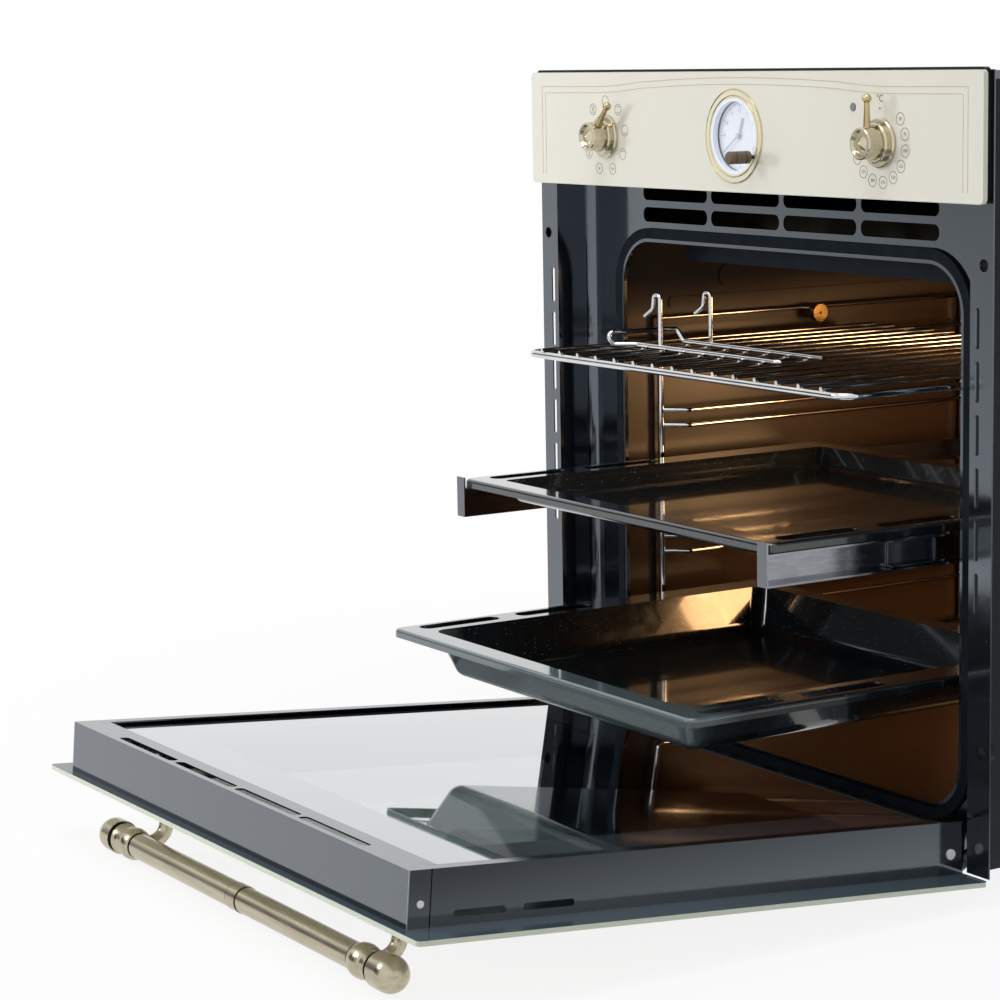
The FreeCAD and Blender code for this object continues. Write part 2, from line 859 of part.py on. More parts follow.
def make_cavity():
    body = new_body("cavity_body")
    across = (-half_cavity, half_cavity)
    up = (d.cavity_floor, cavity_roof)
    outer_across = (-half_cavity - d.cavity_sheet, half_cavity + d.cavity_sheet)
    outer_up = (d.cavity_floor - d.cavity_sheet, cavity_roof + d.cavity_sheet)
    shell = Outline(body, "cavity_outline", "XZ_Plane", lift=-frame_back)
    shell.rounded(outer_across, outer_up, d.cavity_corner + d.cavity_sheet)
    shell.pad(wall_back - frame_back, back=True)
    hollow = Outline(body, "hollow_outline", "XZ_Plane", lift=-frame_back)
    hollow.rounded(across, up, d.cavity_corner)
    hollow.pocket(cavity_back - frame_back)
    holes = Outline(body, "rear_hole_outline", "XZ_Plane", lift=-cavity_back)
    leg_hole = d.element_radius + d.seat_gap
    holes.circle(0, fan_z, d.fan_shaft_radius + d.seat_gap)
    holes.circle(lamp_x, lamp_z, d.lamp_bulb_radius + d.seat_gap)
    leg_drop = d.ring_radius * math.cos(math.radians(d.ring_leg_angle.number))
    leg_side = d.ring_radius * math.sin(math.radians(d.ring_leg_angle.number))
    for side in (-1, 1):
        holes.circle(side * d.grill_leg_spacing / 2, cavity_roof - d.grill_drop, leg_hole)
        holes.circle(side * leg_side, fan_z - leg_drop, leg_hole)
    holes.pocket(2 * d.cavity_sheet)
    ribs = ((d.rib_front, d.rib_drop, d.rib_height), (d.low_rib_front, d.low_rib_drop, d.low_rib_height))
    for side in (-1, 1):
        for start, drop, height in ribs:
            middle = cavity_roof - drop
            rib = Outline(body, f"rib_outline_{side + 1}_{int(start.number)}", "YZ_Plane",
                          lift=side * half_cavity)
            rib.rounded((start, cavity_back - d.rib_rear_gap), (middle - height / 2, middle + height / 2),
                        height / 2 - d.slot_flat)
            rib.pad(d.rib_rise, back=side > 0)
    node(body, "cavity")


def make_insulation():
    body = new_body("insulation_body")
    inner_x = half_cavity + d.cavity_sheet + d.seat_gap
    roof = cavity_roof + d.cavity_sheet + d.seat_gap
    bed = d.insulation_floor + d.insulation_bed
    outline = Outline(body, "insulation_outline", "XZ_Plane", lift=-d.insulation_start)
    wide = inner_x + d.insulation_side
    outline.polygon([
        (-wide, d.insulation_floor), (wide, d.insulation_floor),
        (wide, roof + d.insulation_top), (-wide, roof + d.insulation_top),
    ])
    outline.polygon([(-inner_x, bed), (inner_x, bed), (inner_x, roof), (-inner_x, roof)])
    outline.pad(cavity_back - d.insulation_short - d.insulation_start, back=True)
    node(body, "insulation")


def make_gasket():
    body = new_body("gasket_body")
    grow = d.bead_width + d.seat_gap
    outline = Outline(body, "gasket_outline", "XZ_Plane", lift=d.gasket_height - d.recess_depth)
    for extra in (grow, grow + d.gasket_width):
        across = (-half_opening - extra, half_opening + extra)
        up = (opening_floor - extra, opening_roof + extra)
        outline.rounded(across, up, d.opening_corner + extra)
    outline.pad(d.gasket_height, back=True)
    node(body, "door_gasket")


def make_deflector():
    body = new_body("deflector_body")
    half = half_cavity - d.deflector_side
    floor = cavity_roof - d.deflector_drop
    cut, bevel = d.deflector_corner, d.deflector_bevel
    outline = Outline(body, "deflector_outline", "XZ_Plane", lift=-d.deflector_front)
    outline.polygon([
        (-half, cavity_roof), (-half, floor + cut), (-half + bevel, floor + bevel), (-half + cut, floor),
        (half - cut, floor), (half - bevel, floor + bevel), (half, floor + cut), (half, cavity_roof),
    ])
    outline.pad(d.deflector_sheet, back=True)
    node(body, "grill_deflector")


def make_elements():
    tail = wall_back + d.element_tail
    z = cavity_roof - d.grill_drop
    leg, inner, outer = d.grill_leg_spacing / 2, d.grill_inner_width / 2, half_cavity - d.grill_side
    turn, rear = d.grill_turn, cavity_back - d.grill_rear_gap
    right = [(leg, tail), (leg, turn), (inner, turn), (inner, rear), (outer, rear), (outer, d.grill_front)]
    route = [(-x, y, z) for x, y in right] + [(x, y, z) for x, y in reversed(right)]
    node(solid("grill_wire", bent_wire(route, d.element_radius, d.element_bend)), "grill_element")
    low = d.cavity_floor - d.cavity_sheet - d.seat_gap - d.element_radius
    half = d.base_element_width / 2
    front, rear = d.base_element_front, cavity_back - d.base_element_rear_gap
    turns = [(-half, rear), (-half, front), (half, front), (half, rear)]
    base = bent_wire([(x, y, low) for x, y in turns], d.element_radius, d.element_bend)
    node(solid("base_wire", base), "base_element")
    radius = float(d.ring_radius)
    open_angle = math.radians(d.ring_leg_angle.number)
    ring_y = float(cavity_back - d.ring_stand_off)
    centre = vec(0, ring_y, float(fan_z))

    def at(angle):
        return centre + vec(radius * math.sin(angle), 0, -radius * math.cos(angle))

    sweep = 2 * math.pi - 2 * open_angle
    marks = [at(open_angle + sweep * i / 4) for i in range(5)]
    edges = [Part.Arc(*marks[:3]).toShape(), Part.Arc(*marks[2:]).toShape()]
    tangent = vec(math.cos(open_angle), 0, math.sin(open_angle))
    profile = Part.Wire(Part.Circle(marks[0], tangent, d.element_radius.number).toShape())
    loop = Part.Wire(edges).makePipeShell([profile], True, False)
    inset = d.element_radius.number
    legs = []
    for mark in (marks[0], marks[4]):
        start, end = (mark.x, ring_y - inset, mark.z), (mark.x, tail, mark.z)
        legs.append(straight_wire(start, end, d.element_radius))
    node(solid("ring_wire", loop.fuse(legs)), "ring_element")


def make_fan():
    cover = new_body("fan_cover_body")
    half_x, half_z = half_cavity - d.cover_side, d.cover_height / 2
    across, up = (-half_x, half_x), (fan_z - half_z, fan_z + half_z)
    front = cavity_back - d.cover_depth
    shell = Outline(cover, "cover_outline", "XZ_Plane", lift=-front)
    shell.rounded(across, up, d.cover_corner)
    shell.pad(d.cover_depth, back=True)
    hollow = Outline(cover, "cover_hollow_outline", "XZ_Plane", lift=-cavity_back)
    inner_across = (across[0] + d.cover_sheet, across[1] - d.cover_sheet)
    inner_up = (up[0] + d.cover_sheet, up[1] - d.cover_sheet)
    hollow.rounded(inner_across, inner_up, d.cover_corner - d.cover_sheet)
    hollow.pocket(d.cover_depth - d.cover_sheet, back=True)
    slots = Outline(cover, "cover_slot_outline", "XZ_Plane", lift=-front)
    slot_up = (fan_z - d.cover_slot_length / 2, fan_z + d.cover_slot_length / 2)
    for side in (-1, 1):
        middle = side * (half_x - d.cover_slot_inset)
        slot_across = (middle - d.cover_slot_width / 2, middle + d.cover_slot_width / 2)
        slots.rounded(slot_across, slot_up, d.cover_slot_width / 2 - d.slot_flat)
    slots.pocket(2 * d.cover_sheet)
    hub = Outline(cover, "cover_hole_outline", "XZ_Plane", lift=-front, shift=fan_z)
    hub.circle(0, d.cover_hole_ring, d.cover_hole_radius)
    hub.spin(hub.pocket(2 * d.cover_sheet), counts.cover_holes)
    node(cover, "fan_cover")
    motor = rod("motor_can", "Y", (0, fan_z), (wall_back, wall_back + d.motor_length), d.motor_radius)
    grip = wall_back + d.fan_shaft_grip
    bore = rod("motor_bore", "Y", (0, fan_z), (wall_back, grip), d.fan_shaft_radius + d.running_gap)
    node(without("motor_bored", motor, [bore]), "fan_motor")
    fan = new_body("fan_body")
    plate_back = cavity_back - d.fan_stand_off
    disc = Outline(fan, "fan_plate_outline", "XZ_Plane", lift=-plate_back, shift=fan_z)
    disc.circle(0, 0, d.fan_radius)
    disc.pad(d.fan_plate)
    hub = Outline(fan, "fan_hub_outline", "XZ_Plane", lift=-plate_back, shift=fan_z)
    hub.circle(0, 0, d.fan_hub_radius)
    hub.pad(d.fan_depth)
    blade = Outline(fan, "fan_blade_outline", "XZ_Plane", lift=-plate_back, shift=fan_z)
    thick = d.fan_plate
    root, tip = d.fan_radius / 2, d.fan_radius - d.fan_blade_margin
    blade.polygon([(-thick, root), (thick, root), (thick, tip), (-thick, tip)])
    blade.spin(blade.pad(d.fan_depth), counts.fan_blades)
    shaft = Outline(fan, "fan_shaft_outline", "XZ_Plane", lift=-plate_back, shift=fan_z)
    shaft.circle(0, 0, d.fan_shaft_radius)
    shaft.pad(grip - d.seat_gap - plate_back, back=True)
    node(fan, "convection_fan")


def make_lamp():
    front = cavity_back - d.lamp_glass_depth
    inside = front + d.lamp_glass_wall
    centre = (lamp_x, lamp_z)
    dome = rod("lamp_dome", "Y", centre, (front, cavity_back), d.lamp_glass_radius)
    room = rod("lamp_hollow", "Y", centre, (inside, cavity_back), d.lamp_bulb_radius + d.lamp_room)
    node(without("lamp_cover", dome, [room]), "lamp_glass")
    socket = (wall_back, wall_back + d.lamp_holder_depth)
    holder = rod("lamp_socket", "Y", centre, socket, d.lamp_holder_radius)
    bulb = rod("lamp_bulb", "Y", centre, (inside + 2 * d.seat_gap, wall_back), d.lamp_bulb_radius)
    node(joined("lamp_holder_all", [holder, bulb]), "lamp_holder")


def make_blower():
    half = d.blower_width / 2
    floor = cavity_roof + d.cavity_sheet + d.seat_gap + d.insulation_top + d.seat_gap
    rear = d.casing_depth - d.blower_rear_gap
    front = rear - d.blower_depth
    axis = (rear - d.blower_depth / 2, floor + d.blower_height / 2)
    shell = box("blower_shell", (-half, half), (front, rear), (floor, floor + d.blower_height))
    wall = d.blower_wall
    room_x = (-half + wall, half - wall)
    drum_room = rod("blower_room", "X", axis, room_x, d.blower_depth / 2 - wall)
    mouth_up = (floor + wall, floor + wall + d.blower_mouth)
    mouth = box("blower_mouth_space", room_x, (front - d.cut_margin, axis[0]), mouth_up)
    motor = rod("blower_motor", "X", axis, (half, half + d.blower_motor_length), d.blower_motor_radius)
    bore_radius = d.impeller_shaft_radius + d.running_gap
    shaft_end = half + d.blower_motor_length / 2
    bore = rod("blower_bore", "X", axis, (-half - d.cut_margin, shaft_end + d.seat_gap), bore_radius)
    housing = joined("blower_case", [shell, motor])
    node(without("blower_open", housing, [drum_room, mouth, bore]), "blower_housing")
    wheel = new_body("impeller_body")
    start = -half + wall + d.impeller_end_gap
    length = d.blower_width - 2 * (wall + d.impeller_end_gap)
    end_plate = Outline(wheel, "impeller_plate_outline", "YZ_Plane", lift=start)
    end_plate.circle(0, 0, d.impeller_radius)
    end_plate.pad(d.impeller_plate)
    shaft = Outline(wheel, "impeller_shaft_outline", "YZ_Plane", lift=-half)
    shaft.circle(0, 0, d.impeller_shaft_radius)
    shaft.pad(half + shaft_end)
    far_plate = Outline(wheel, "impeller_far_outline", "YZ_Plane", lift=start + length - d.impeller_plate)
    far_plate.circle(0, 0, d.impeller_radius)
    far_plate.pad(d.impeller_plate)
    blade = Outline(wheel, "impeller_blade_outline", "YZ_Plane", lift=start)
    thin = d.impeller_blade_sheet / 2
    root, tip = d.impeller_radius - d.impeller_blade, d.impeller_radius - d.impeller_blade_margin
    blade.polygon([(-thin, root), (thin, root), (thin, tip), (-thin, tip)])
    blade.spin(blade.pad(length), counts.impeller_blades)
    place(wheel, 0, *axis)
    node(wheel, "blower_impeller")


def make_terminal_block():
    x = half_casing - d.terminal_side
    across = (x - d.terminal_width / 2, x + d.terminal_width / 2)
    up = (d.terminal_z, d.terminal_z + d.terminal_height)
    block = box("terminal_case", across, (d.casing_depth, d.casing_depth + d.terminal_depth), up)
    middle = d.casing_depth + d.terminal_depth / 2
    bore = (d.terminal_z - d.cut_margin, d.terminal_z + d.terminal_gland_depth)
    gland = rod("terminal_gland", "Z", (x, middle), bore, d.terminal_gland_radius)
    node(without("terminal_bored", block, [gland]), "terminal_block")


def make_panel():
    half = half_front - d.panel_side_gap
    glass = new_body("panel_glass_body")
    outline = Outline(glass, "panel_outline", "XZ_Plane", lift=-panel_front)
    outline.rounded((-half, half), (panel_floor, d.front_height), d.panel_corner)
    chassis = new_body("panel_chassis_body")
    plate = Outline(chassis, "chassis_outline", "XZ_Plane", lift=d.chassis_thick)
    chassis_half = half_front - d.chassis_side_gap
    chassis_up = (d.front_height - d.chassis_drop, d.front_height + d.chassis_rise)
    plate.rounded((-chassis_half, chassis_half), chassis_up, d.panel_corner)
    for outlined in (outline, plate):
        for side in (-1, 1):
            outlined.circle(side * d.knob_spacing / 2, knob_z, d.shaft_radius + d.seat_gap)
        outlined.circle(d.indicator_x, indicator_z, d.indicator_radius + d.seat_gap)
    outline.circle(0, clock_z, d.clock_tube_radius + d.seat_gap)
    plate.circle(0, clock_z, d.clock_dial_radius + d.seat_gap)
    plate.circle(d.set_knob_x, clock_z - d.set_knob_drop, d.set_stem_radius + d.seat_gap)
    outline.pad(d.panel_glass_thick, back=True)
    plate.pad(d.chassis_thick, back=True)
    node(glass, "panel_glass")
    node(chassis, "panel_chassis")
    spot = (d.indicator_x, indicator_z)
    lens_y = (panel_front - d.indicator_rise, d.seat_gap)
    lens = rod("indicator_lens", "Y", spot, lens_y, d.indicator_radius)
    base = rod("indicator_base", "Y", spot, (0, d.indicator_depth), d.indicator_base_radius)
    node(joined("indicator_all", [lens, base]), "indicator_lamp")


def make_knob(name, x, width, depth, angle, switch_label):
    low, high = knob_z - width / 2, knob_z + width / 2
    case = box(name + "_case", (x - width / 2, x + width / 2), (0, depth), (low, high))
    bore_y = (-d.cut_margin, d.shaft_grip + d.seat_gap)
    bore = rod(name + "_bore", "Y", (x, knob_z), bore_y, d.shaft_radius + d.running_gap)
    node(without(name + "_switch", case, [bore]), switch_label)
    tip = panel_front - d.shaft_length
    node(rod(name + "_spindle", "Y", (x, knob_z), (tip, d.shaft_grip), d.shaft_radius), name + "_shaft")
    body = new_body(name + "_knob_body")
    face = panel_front - d.knob_length
    foot = panel_front - 2 * d.seat_gap
    floor = face + d.knob_dish
    profile = Outline(body, name + "_knob_profile", "XY_Plane")
    shoulder = d.bezel_chamfer
    profile.polygon([
        (d.shaft_radius + d.seat_gap, foot), (d.knob_radius, foot), (d.knob_radius, face + shoulder),
        (d.knob_radius - shoulder, face), (d.knob_radius - d.knob_rim, face),
        (d.knob_radius - d.knob_rim - d.knob_dish_slope, floor), (d.knob_dish_radius, floor),
        (0, floor - d.knob_cone),
        (0, tip - d.seat_gap), (d.shaft_radius + d.seat_gap, tip - d.seat_gap),
    ])
    profile.revolve("V_Axis")
    lever_y = panel_front - d.lever_height
    socket = Outline(body, name + "_socket_outline", "XY_Plane", lift=d.lever_socket)
    socket.circle(0, lever_y, d.lever_radius + d.seat_gap)
    socket.pocket(d.knob_radius, back=True)
    turn_about_y(body, x, 0, knob_z, angle)
    node(body, name + "_knob")
    stem = doc.addObject("Part::Cone", name + "_lever_stem")
    stem.setExpression("Radius1", d.lever_radius.text)
    stem.setExpression("Radius2", d.lever_tip_radius.text)
    stem.setExpression("Height", (d.lever_reach - d.lever_socket - d.seat_gap).text)
    place(stem, 0, lever_y, d.lever_socket + d.seat_gap)
    ball = doc.addObject("Part::Sphere", name + "_lever_ball")
    ball.setExpression("Radius", d.lever_ball_radius.text)
    place(ball, 0, lever_y, d.lever_reach)
    lever = joined(name + "_lever_all", [stem, ball])
    turn_about_y(lever, x, 0, knob_z, angle)
    node(lever, name + "_lever")


def make_knobs():
    half = d.knob_spacing / 2
    make_knob("function", -half, d.switch_width, d.switch_depth, d.function_lever_angle, "function_switch")
    make_knob("thermostat", half, d.thermostat_width, d.thermostat_depth, d.thermostat_lever_angle,
              "thermostat_body")

    def bezel(side, name):
        body = new_body(name)
        inner = d.knob_radius + d.seat_gap
        first = panel_front - d.bezel_height
        second = first - d.bezel_step_height
        cut = d.bezel_chamfer
        profile = Outline(body, name + "_profile", "XY_Plane")
        profile.polygon([
            (inner, panel_front), (d.bezel_radius, panel_front), (d.bezel_radius, first + cut),
            (d.bezel_radius - cut, first), (d.bezel_step_radius, first), (d.bezel_step_radius, second + cut),
            (d.bezel_step_radius - cut, second), (inner, second),
        ])
        profile.revolve("V_Axis")
        return place(body, side * half, 0, knob_z)

    node(on_both_sides("bezel_pair", bezel), "knob_bezels")


def make_clock():
    front = panel_front - d.clock_ring_height
    dial_front = panel_front + d.clock_dial_depth
    inner = d.clock_dial_radius + d.seat_gap
    bezel = new_body("clock_bezel_body")
    profile = Outline(bezel, "clock_bezel_profile", "XY_Plane")
    tube, ring = d.clock_tube_radius, d.clock_ring_radius
    bead = d.clock_ring_bead
    middle = d.clock_inner_ring_radius
    profile.polygon([
        (inner, -d.chassis_thick), (tube, -d.chassis_thick), (tube, panel_front), (ring, panel_front),
        (ring, front), (ring - bead, front - bead), (ring - 2 * bead, front),
        (middle + bead, front), (middle, front - bead), (middle - bead, front), (inner, front),
    ])
    profile.revolve("V_Axis")
    stem_hole = Outline(bezel, "clock_stem_hole", "XZ_Plane", lift=2 * bead - front)
    stem_hole.circle(d.set_knob_x, -d.set_knob_drop, d.set_stem_radius + d.seat_gap)
    stem_hole.pocket(d.panel_glass_thick + d.clock_ring_height + 2 * bead + d.cut_margin)
    place(bezel, 0, 0, clock_z)
    node(bezel, "clock_bezel")
    cover_front = panel_front - d.clock_glass_thick
    cover = rod("clock_cover", "Y", (0, clock_z), (cover_front, panel_front), d.clock_dial_radius)
    node(cover, "clock_glass")
    half = d.movement_width / 2
    tall = d.movement_height / 2
    case = box("movement_case", (-half, half), (0, d.movement_depth), (clock_z - tall, clock_z + tall))
    dial = rod("movement_dial", "Y", (0, clock_z), (dial_front, 0), d.clock_dial_radius)
    grip = d.arbor_grip + d.seat_gap
    bore_y = (dial_front - d.cut_margin, grip)
    bore = rod("movement_bore", "Y", (0, clock_z), bore_y, d.hour_tube_radius + d.running_gap)
    stem_spot = (d.set_knob_x, clock_z - d.set_knob_drop)
    stem_wide = d.set_stem_radius + d.running_gap
    stem_bore = rod("movement_stem_bore", "Y", stem_spot, (-d.cut_margin, grip), stem_wide)
    movement = joined("movement_all", [case, dial])
    node(without("movement_bored", movement, [bore, stem_bore]), "clock_movement")
    hour_back = dial_front - d.hand_gap
    hour_front = hour_back - d.hand_thick
    minute_back = hour_front - d.hand_gap
    minute_front = minute_back - d.hand_thick
    tube_rod = rod("hour_tube", "Y", (0, 0), (hour_front, d.arbor_grip), d.hour_tube_radius)
    wide = d.hour_hand_width / 2
    blade = box("hour_blade", (-wide, wide), (hour_front, hour_back), (0, d.hour_hand_length))
    hole_y = (hour_front - d.cut_margin, d.arbor_grip + d.cut_margin)
    hole = rod("hour_hole", "Y", (0, 0), hole_y, d.arbor_radius + d.running_gap)
    hour = without("hour_hand_all", joined("hour_hand_solid", [tube_rod, blade]), [hole])
    node(turn_about_y(hour, 0, 0, clock_z, d.hour_hand_angle), "hour_hand")
    arbor = rod("minute_arbor", "Y", (0, 0), (minute_front, d.arbor_grip - d.seat_gap), d.arbor_radius)
    thin = d.minute_hand_width / 2
    blade_up = (-d.minute_hand_tail, d.minute_hand_length)
    blade = box("minute_blade", (-thin, thin), (minute_front, minute_back), blade_up)
    boss = rod("minute_boss", "Y", (0, 0), (minute_front, minute_back), d.hour_tube_radius)
    minute = joined("minute_hand_all", [arbor, blade, boss])
    node(turn_about_y(minute, 0, 0, clock_z, d.minute_hand_angle), "minute_hand")
    knob = new_body("set_knob_body")
    profile = Outline(knob, "set_knob_profile", "XY_Plane")
    head = panel_front - d.set_stem_length
    tip = head - d.set_knob_length
    wide, groove = d.set_knob_radius, d.set_knob_groove
    collar = head - d.set_knob_collar
    profile.polygon([
        (0, d.arbor_grip), (d.set_stem_radius, d.arbor_grip), (d.set_stem_radius, head), (wide, head),
        (wide, collar), (wide - groove, collar - groove), (wide, collar - 2 * groove),
        (wide, tip + groove), (wide - groove, tip), (0, tip),
    ])
    profile.revolve("V_Axis")
    place(knob, d.set_knob_x, 0, clock_z - d.set_knob_drop)
    node(knob, "clock_set_knob")


def make_ladders():
    hang = nut_z + d.nut_stud_radius + d.seat_gap + d.level_wire_radius
    runner_x = runner_outer + 2 * d.seat_gap + d.level_wire_radius

    def ladder(side, name):
        x = side * post_x
        front, rear = d.ladder_front, ladder_rear
        posts = [(x, front, hang), (x, front, d.ladder_floor), (x, rear, d.ladder_floor), (x, rear, hang)]
        frame = bent_wire(posts, d.post_radius, d.level_bend)
        wires = [straight_wire((x, front, hang), (x, rear, hang), d.level_wire_radius)]
        for level in range(counts.levels):
            z = d.first_level + level * level_pitch
            inner = side * (runner_x if level == 2 else level_x)
            for height in (z, z - d.level_drop):
                route = [
                    (x, front, height), (inner, front + d.level_run_in, height),
                    (inner, rear - d.level_run_in, height), (x, rear, height),
                ]
                wires.append(bent_wire(route, d.level_wire_radius, d.level_bend))
        return solid(name, frame.fuse(wires).removeSplitter())

    node(on_both_sides("ladder_pair", ladder), "side_ladders")

    def nut(side, name):
        wire_inner = post_x - d.level_wire_radius - d.seat_gap
        face = wire_inner - d.nut_length
        head = span_of(side, face, wire_inner)
        knob = rod(name + "_head", "X", (d.nut_y, nut_z), head, d.nut_radius)
        shank = span_of(side, wire_inner - d.nut_grip, half_cavity)
        stud = rod(name + "_stud", "X", (d.nut_y, nut_z), shank, d.nut_stud_radius)
        bored = span_of(side, face - d.cut_margin, face + d.nut_bore_depth)
        bore = rod(name + "_bore", "X", (d.nut_y, nut_z), bored, d.nut_bore_radius)
        return without(name, joined(name + "_solid", [knob, stud]), [bore])

    node(on_both_sides("nut_pair", nut), "ladder_nuts")


def make_runners():
    slip, thick = d.runner_slip, d.runner_sheet
    inner = runner_outer - d.runner_width

    def channel(name, side, start, length, across, up):
        body = new_body(name)
        profile = Outline(body, name + "_profile", "XZ_Plane", lift=-start)
        low_x, high_x = across
        low_z, high_z = up
        web = low_x + thick
        profile.polygon([(side * a, b) for a, b in (
            (low_x, low_z), (high_x, low_z), (high_x, low_z + thick), (web, low_z + thick),
            (web, high_z - thick), (high_x, high_z - thick), (high_x, high_z), (low_x, high_z),
        )])
        profile.pad(length, back=True)
        return body

    def slide(side, name):
        up = (runner_floor, runner_top)
        body = channel(name, side, d.runner_front, d.runner_length, (inner, runner_outer), up)
        tab = Outline(body, name + "_tab_outline", "XZ_Plane", lift=-d.runner_front)
        across = span_of(side, inner, runner_outer)
        top = runner_top + d.runner_tab
        left, right = across
        tab.polygon([(left, runner_floor), (right, runner_floor), (right, top), (left, top)])
        tab.pad(thick, back=True)
        return body

    middle_floor, middle_top = runner_floor + thick + slip, runner_top - thick - slip

    def middle(side, name):
        across = (inner + thick + slip, runner_outer - 2 * thick)
        up = (middle_floor, middle_top)
        return channel(name, side, d.runner_middle_front, d.runner_middle_length, across, up)

    def fixed(side, name):
        low = inner + 2 * (thick + slip)
        across = span_of(side, low, runner_outer + d.seat_gap)
        along = (d.runner_fixed_front, ladder_rear)
        return box(name, across, along, (middle_floor + thick + slip, middle_top - thick - slip))

    node(on_both_sides("runner_slide", slide), "runner_slide_rails")
    node(on_both_sides("runner_middle", middle), "runner_middle_rails")
    node(on_both_sides("runner_fixed", fixed), "runner_fixed_rails")


def pan(name, x, y, top, rise, draft, radius):
    # A tapered block with rounded lower edges and corners, wider at the top than at the floor
    item = doc.addObject("Part::Wedge", name + "_block")
    spans = {
        "Xmin": -x + draft, "Xmax": x - draft, "X2min": -x, "X2max": x,
        "Ymin": as_size(0), "Ymax": as_size(rise),
        "Zmin": -y[1] + draft, "Zmax": -y[0] - draft, "Z2min": -y[1], "Z2max": -y[0],
    }
    for prop, value in spans.items():
        setattr(item, prop, value.number)
        item.setExpression(prop, value.text)
    doc.recompute()
    rounded = doc.addObject("Part::Fillet", name + "_rounded")
    rounded.Base = item
    lower = [
        i for i, edge in enumerate(item.Shape.Edges, 1)
        if min(v.Point.y for v in edge.Vertexes) < d.slot_flat.number
    ]
    rounded.Edges = [(i, radius.number, radius.number) for i in lower]
    return place(rounded, 0, 0, top - rise, FreeCAD.Rotation(vec(1, 0, 0), 90))


def roll_over(body, pad, level, radius):
    # Rounds the outer edges of a pad that lie at one level
    lowest = level.number - d.slot_flat.number
    edges = [
        f"Edge{i}" for i, edge in enumerate(pad.Shape.Edges, 1)
        if min(v.Point.z for v in edge.Vertexes) > lowest
    ]
    feature = body.newObject("PartDesign::Fillet", pad.Name + "_rolled")
    feature.Base = (pad, edges)
    feature.setExpression("Radius", radius.text)
    doc.recompute()


def make_tray(name, front, length, lip_floor, rise, side_rim, end_rim, draft, radius):
    top = lip_floor + d.tray_lip
    rear = front + length
    thick = d.tray_sheet
    body = new_body(name + "_rim_body")
    rim = Outline(body, name + "_rim_outline", "XY_Plane", lift=lip_floor)
    rim.rounded((-half_tray, half_tray), (front, rear), d.tray_rim_corner)
    roll_over(body, rim.pad(d.tray_lip), top, d.tray_rim_roll)
    under = Outline(body, name + "_rim_hollow", "XY_Plane", lift=lip_floor)
    across = (-half_tray + thick, half_tray - thick)
    under.rounded(across, (front + thick, rear - thick), d.tray_rim_corner - thick)
    under.pocket(d.tray_lip - thick, back=True)
    for side in (-1, 1):
        slots = Outline(body, f"{name}_slot_outline_{side + 1}", "XY_Plane", lift=top)
        edge = half_tray - d.tray_slot_inset
        across = span_of(side, edge - d.tray_slot_width, edge)
        along = (front + end_rim, front + end_rim + d.tray_slot_length)
        slots.rounded(across, along, d.tray_slot_width / 2 - d.slot_flat)
        row = (counts.tray_slots - 1) * d.tray_slot_pitch
        slots.row(slots.pocket(2 * thick), "V_Axis", row, counts.tray_slots)
    pan_x = half_tray - side_rim
    pan_y = (front + end_rim, rear - end_rim)
    outer = pan(name + "_outer", pan_x, pan_y, top, as_size(rise), draft, radius)
    room_y = (pan_y[0] + thick, pan_y[1] - thick)
    inner = pan(name + "_inner", pan_x - thick, room_y, top + thick, as_size(rise), draft, radius - thick)
    node(without(name + "_pressed", joined(name + "_solid", [body, outer]), [inner]), name)


def make_trays():
    make_tray("shallow_tray", d.shallow_front, d.shallow_depth_y, runner_top + d.seat_gap, d.shallow_rise,
              d.shallow_side_rim, d.shallow_end_rim, d.shallow_draft, d.shallow_round)
    make_tray("deep_tray", d.deep_front, d.deep_depth_y, deep_lip_floor, d.deep_rise,
              d.deep_side_rim, d.deep_end_rim, d.deep_draft, d.deep_round)


def make_rack():
    x, front = half_tray, d.rack_front
    rear = front + d.rack_depth
    route = [(-x, rear, rack_z), (-x, front, rack_z), (x, front, rack_z), (x, rear, rack_z)]
    frame = bent_wire(route, d.rack_wire_radius, d.rack_bend)
    cross = rear - d.rack_cross_inset
    bars = [straight_wire((-x, cross, rack_z), (x, cross, rack_z), d.rack_cross_radius)]
    first = d.rack_bar_side - half_tray
    pitch = -2 * first / (counts.rack_bars - 1)
    start, end = front - d.rack_bar_radius, rear
    for i in range(counts.rack_bars):
        across = first + i * pitch
        bars.append(straight_wire((across, start, bar_z), (across, end, bar_z), d.rack_bar_radius))
    node(solid("rack_wires", frame.fuse(bars).removeSplitter()), "wire_rack")


def make_stand():
    low = bar_z + d.rack_bar_radius + d.seat_gap + d.stand_wire_radius
    front, rear, left = d.stand_front, d.stand_rear, d.stand_left
    high = low + d.stand_rise
    route = [
        (d.stand_right, front + d.stand_toe, low), (d.stand_right, front, low), (left, front, low),
        (left - d.stand_flare, front - d.stand_flare_run, low), (d.stand_end_x, d.stand_end_front, high),
        (d.stand_end_x + d.stand_end_skew, d.stand_end_rear, high), (left + d.stand_wire_radius, rear, low),
        (d.stand_right, rear, low),
    ]
    wires = []
    for x, y in ((d.stand_hook_x, front), (d.stand_hook_x + d.stand_hook_skew, rear)):
        top = low + d.stand_hook_height
        leg = x - d.hook_crown - d.hook_leg_lean
        hook = [
            (x, y, low), (x, y, top), (x - d.hook_crown, y, top), (leg, y, top - d.hook_leg),
            (leg - d.hook_tip_run, y, top - d.hook_leg - d.hook_tip_drop),
        ]
        wires.append(bent_wire(hook, d.stand_hook_radius, d.stand_hook_bend))
    loop = bent_wire(route, d.stand_wire_radius, d.stand_bend)
    node(solid("stand_wires", loop.fuse(wires).removeSplitter()), "rack_stand")


def s_at(s):
    # Distance along the lying door from the hinge axis, towards the front
    return as_size(s) - d.hinge_inset


def t_at(t):
    return as_size(t) - d.hinge_rise


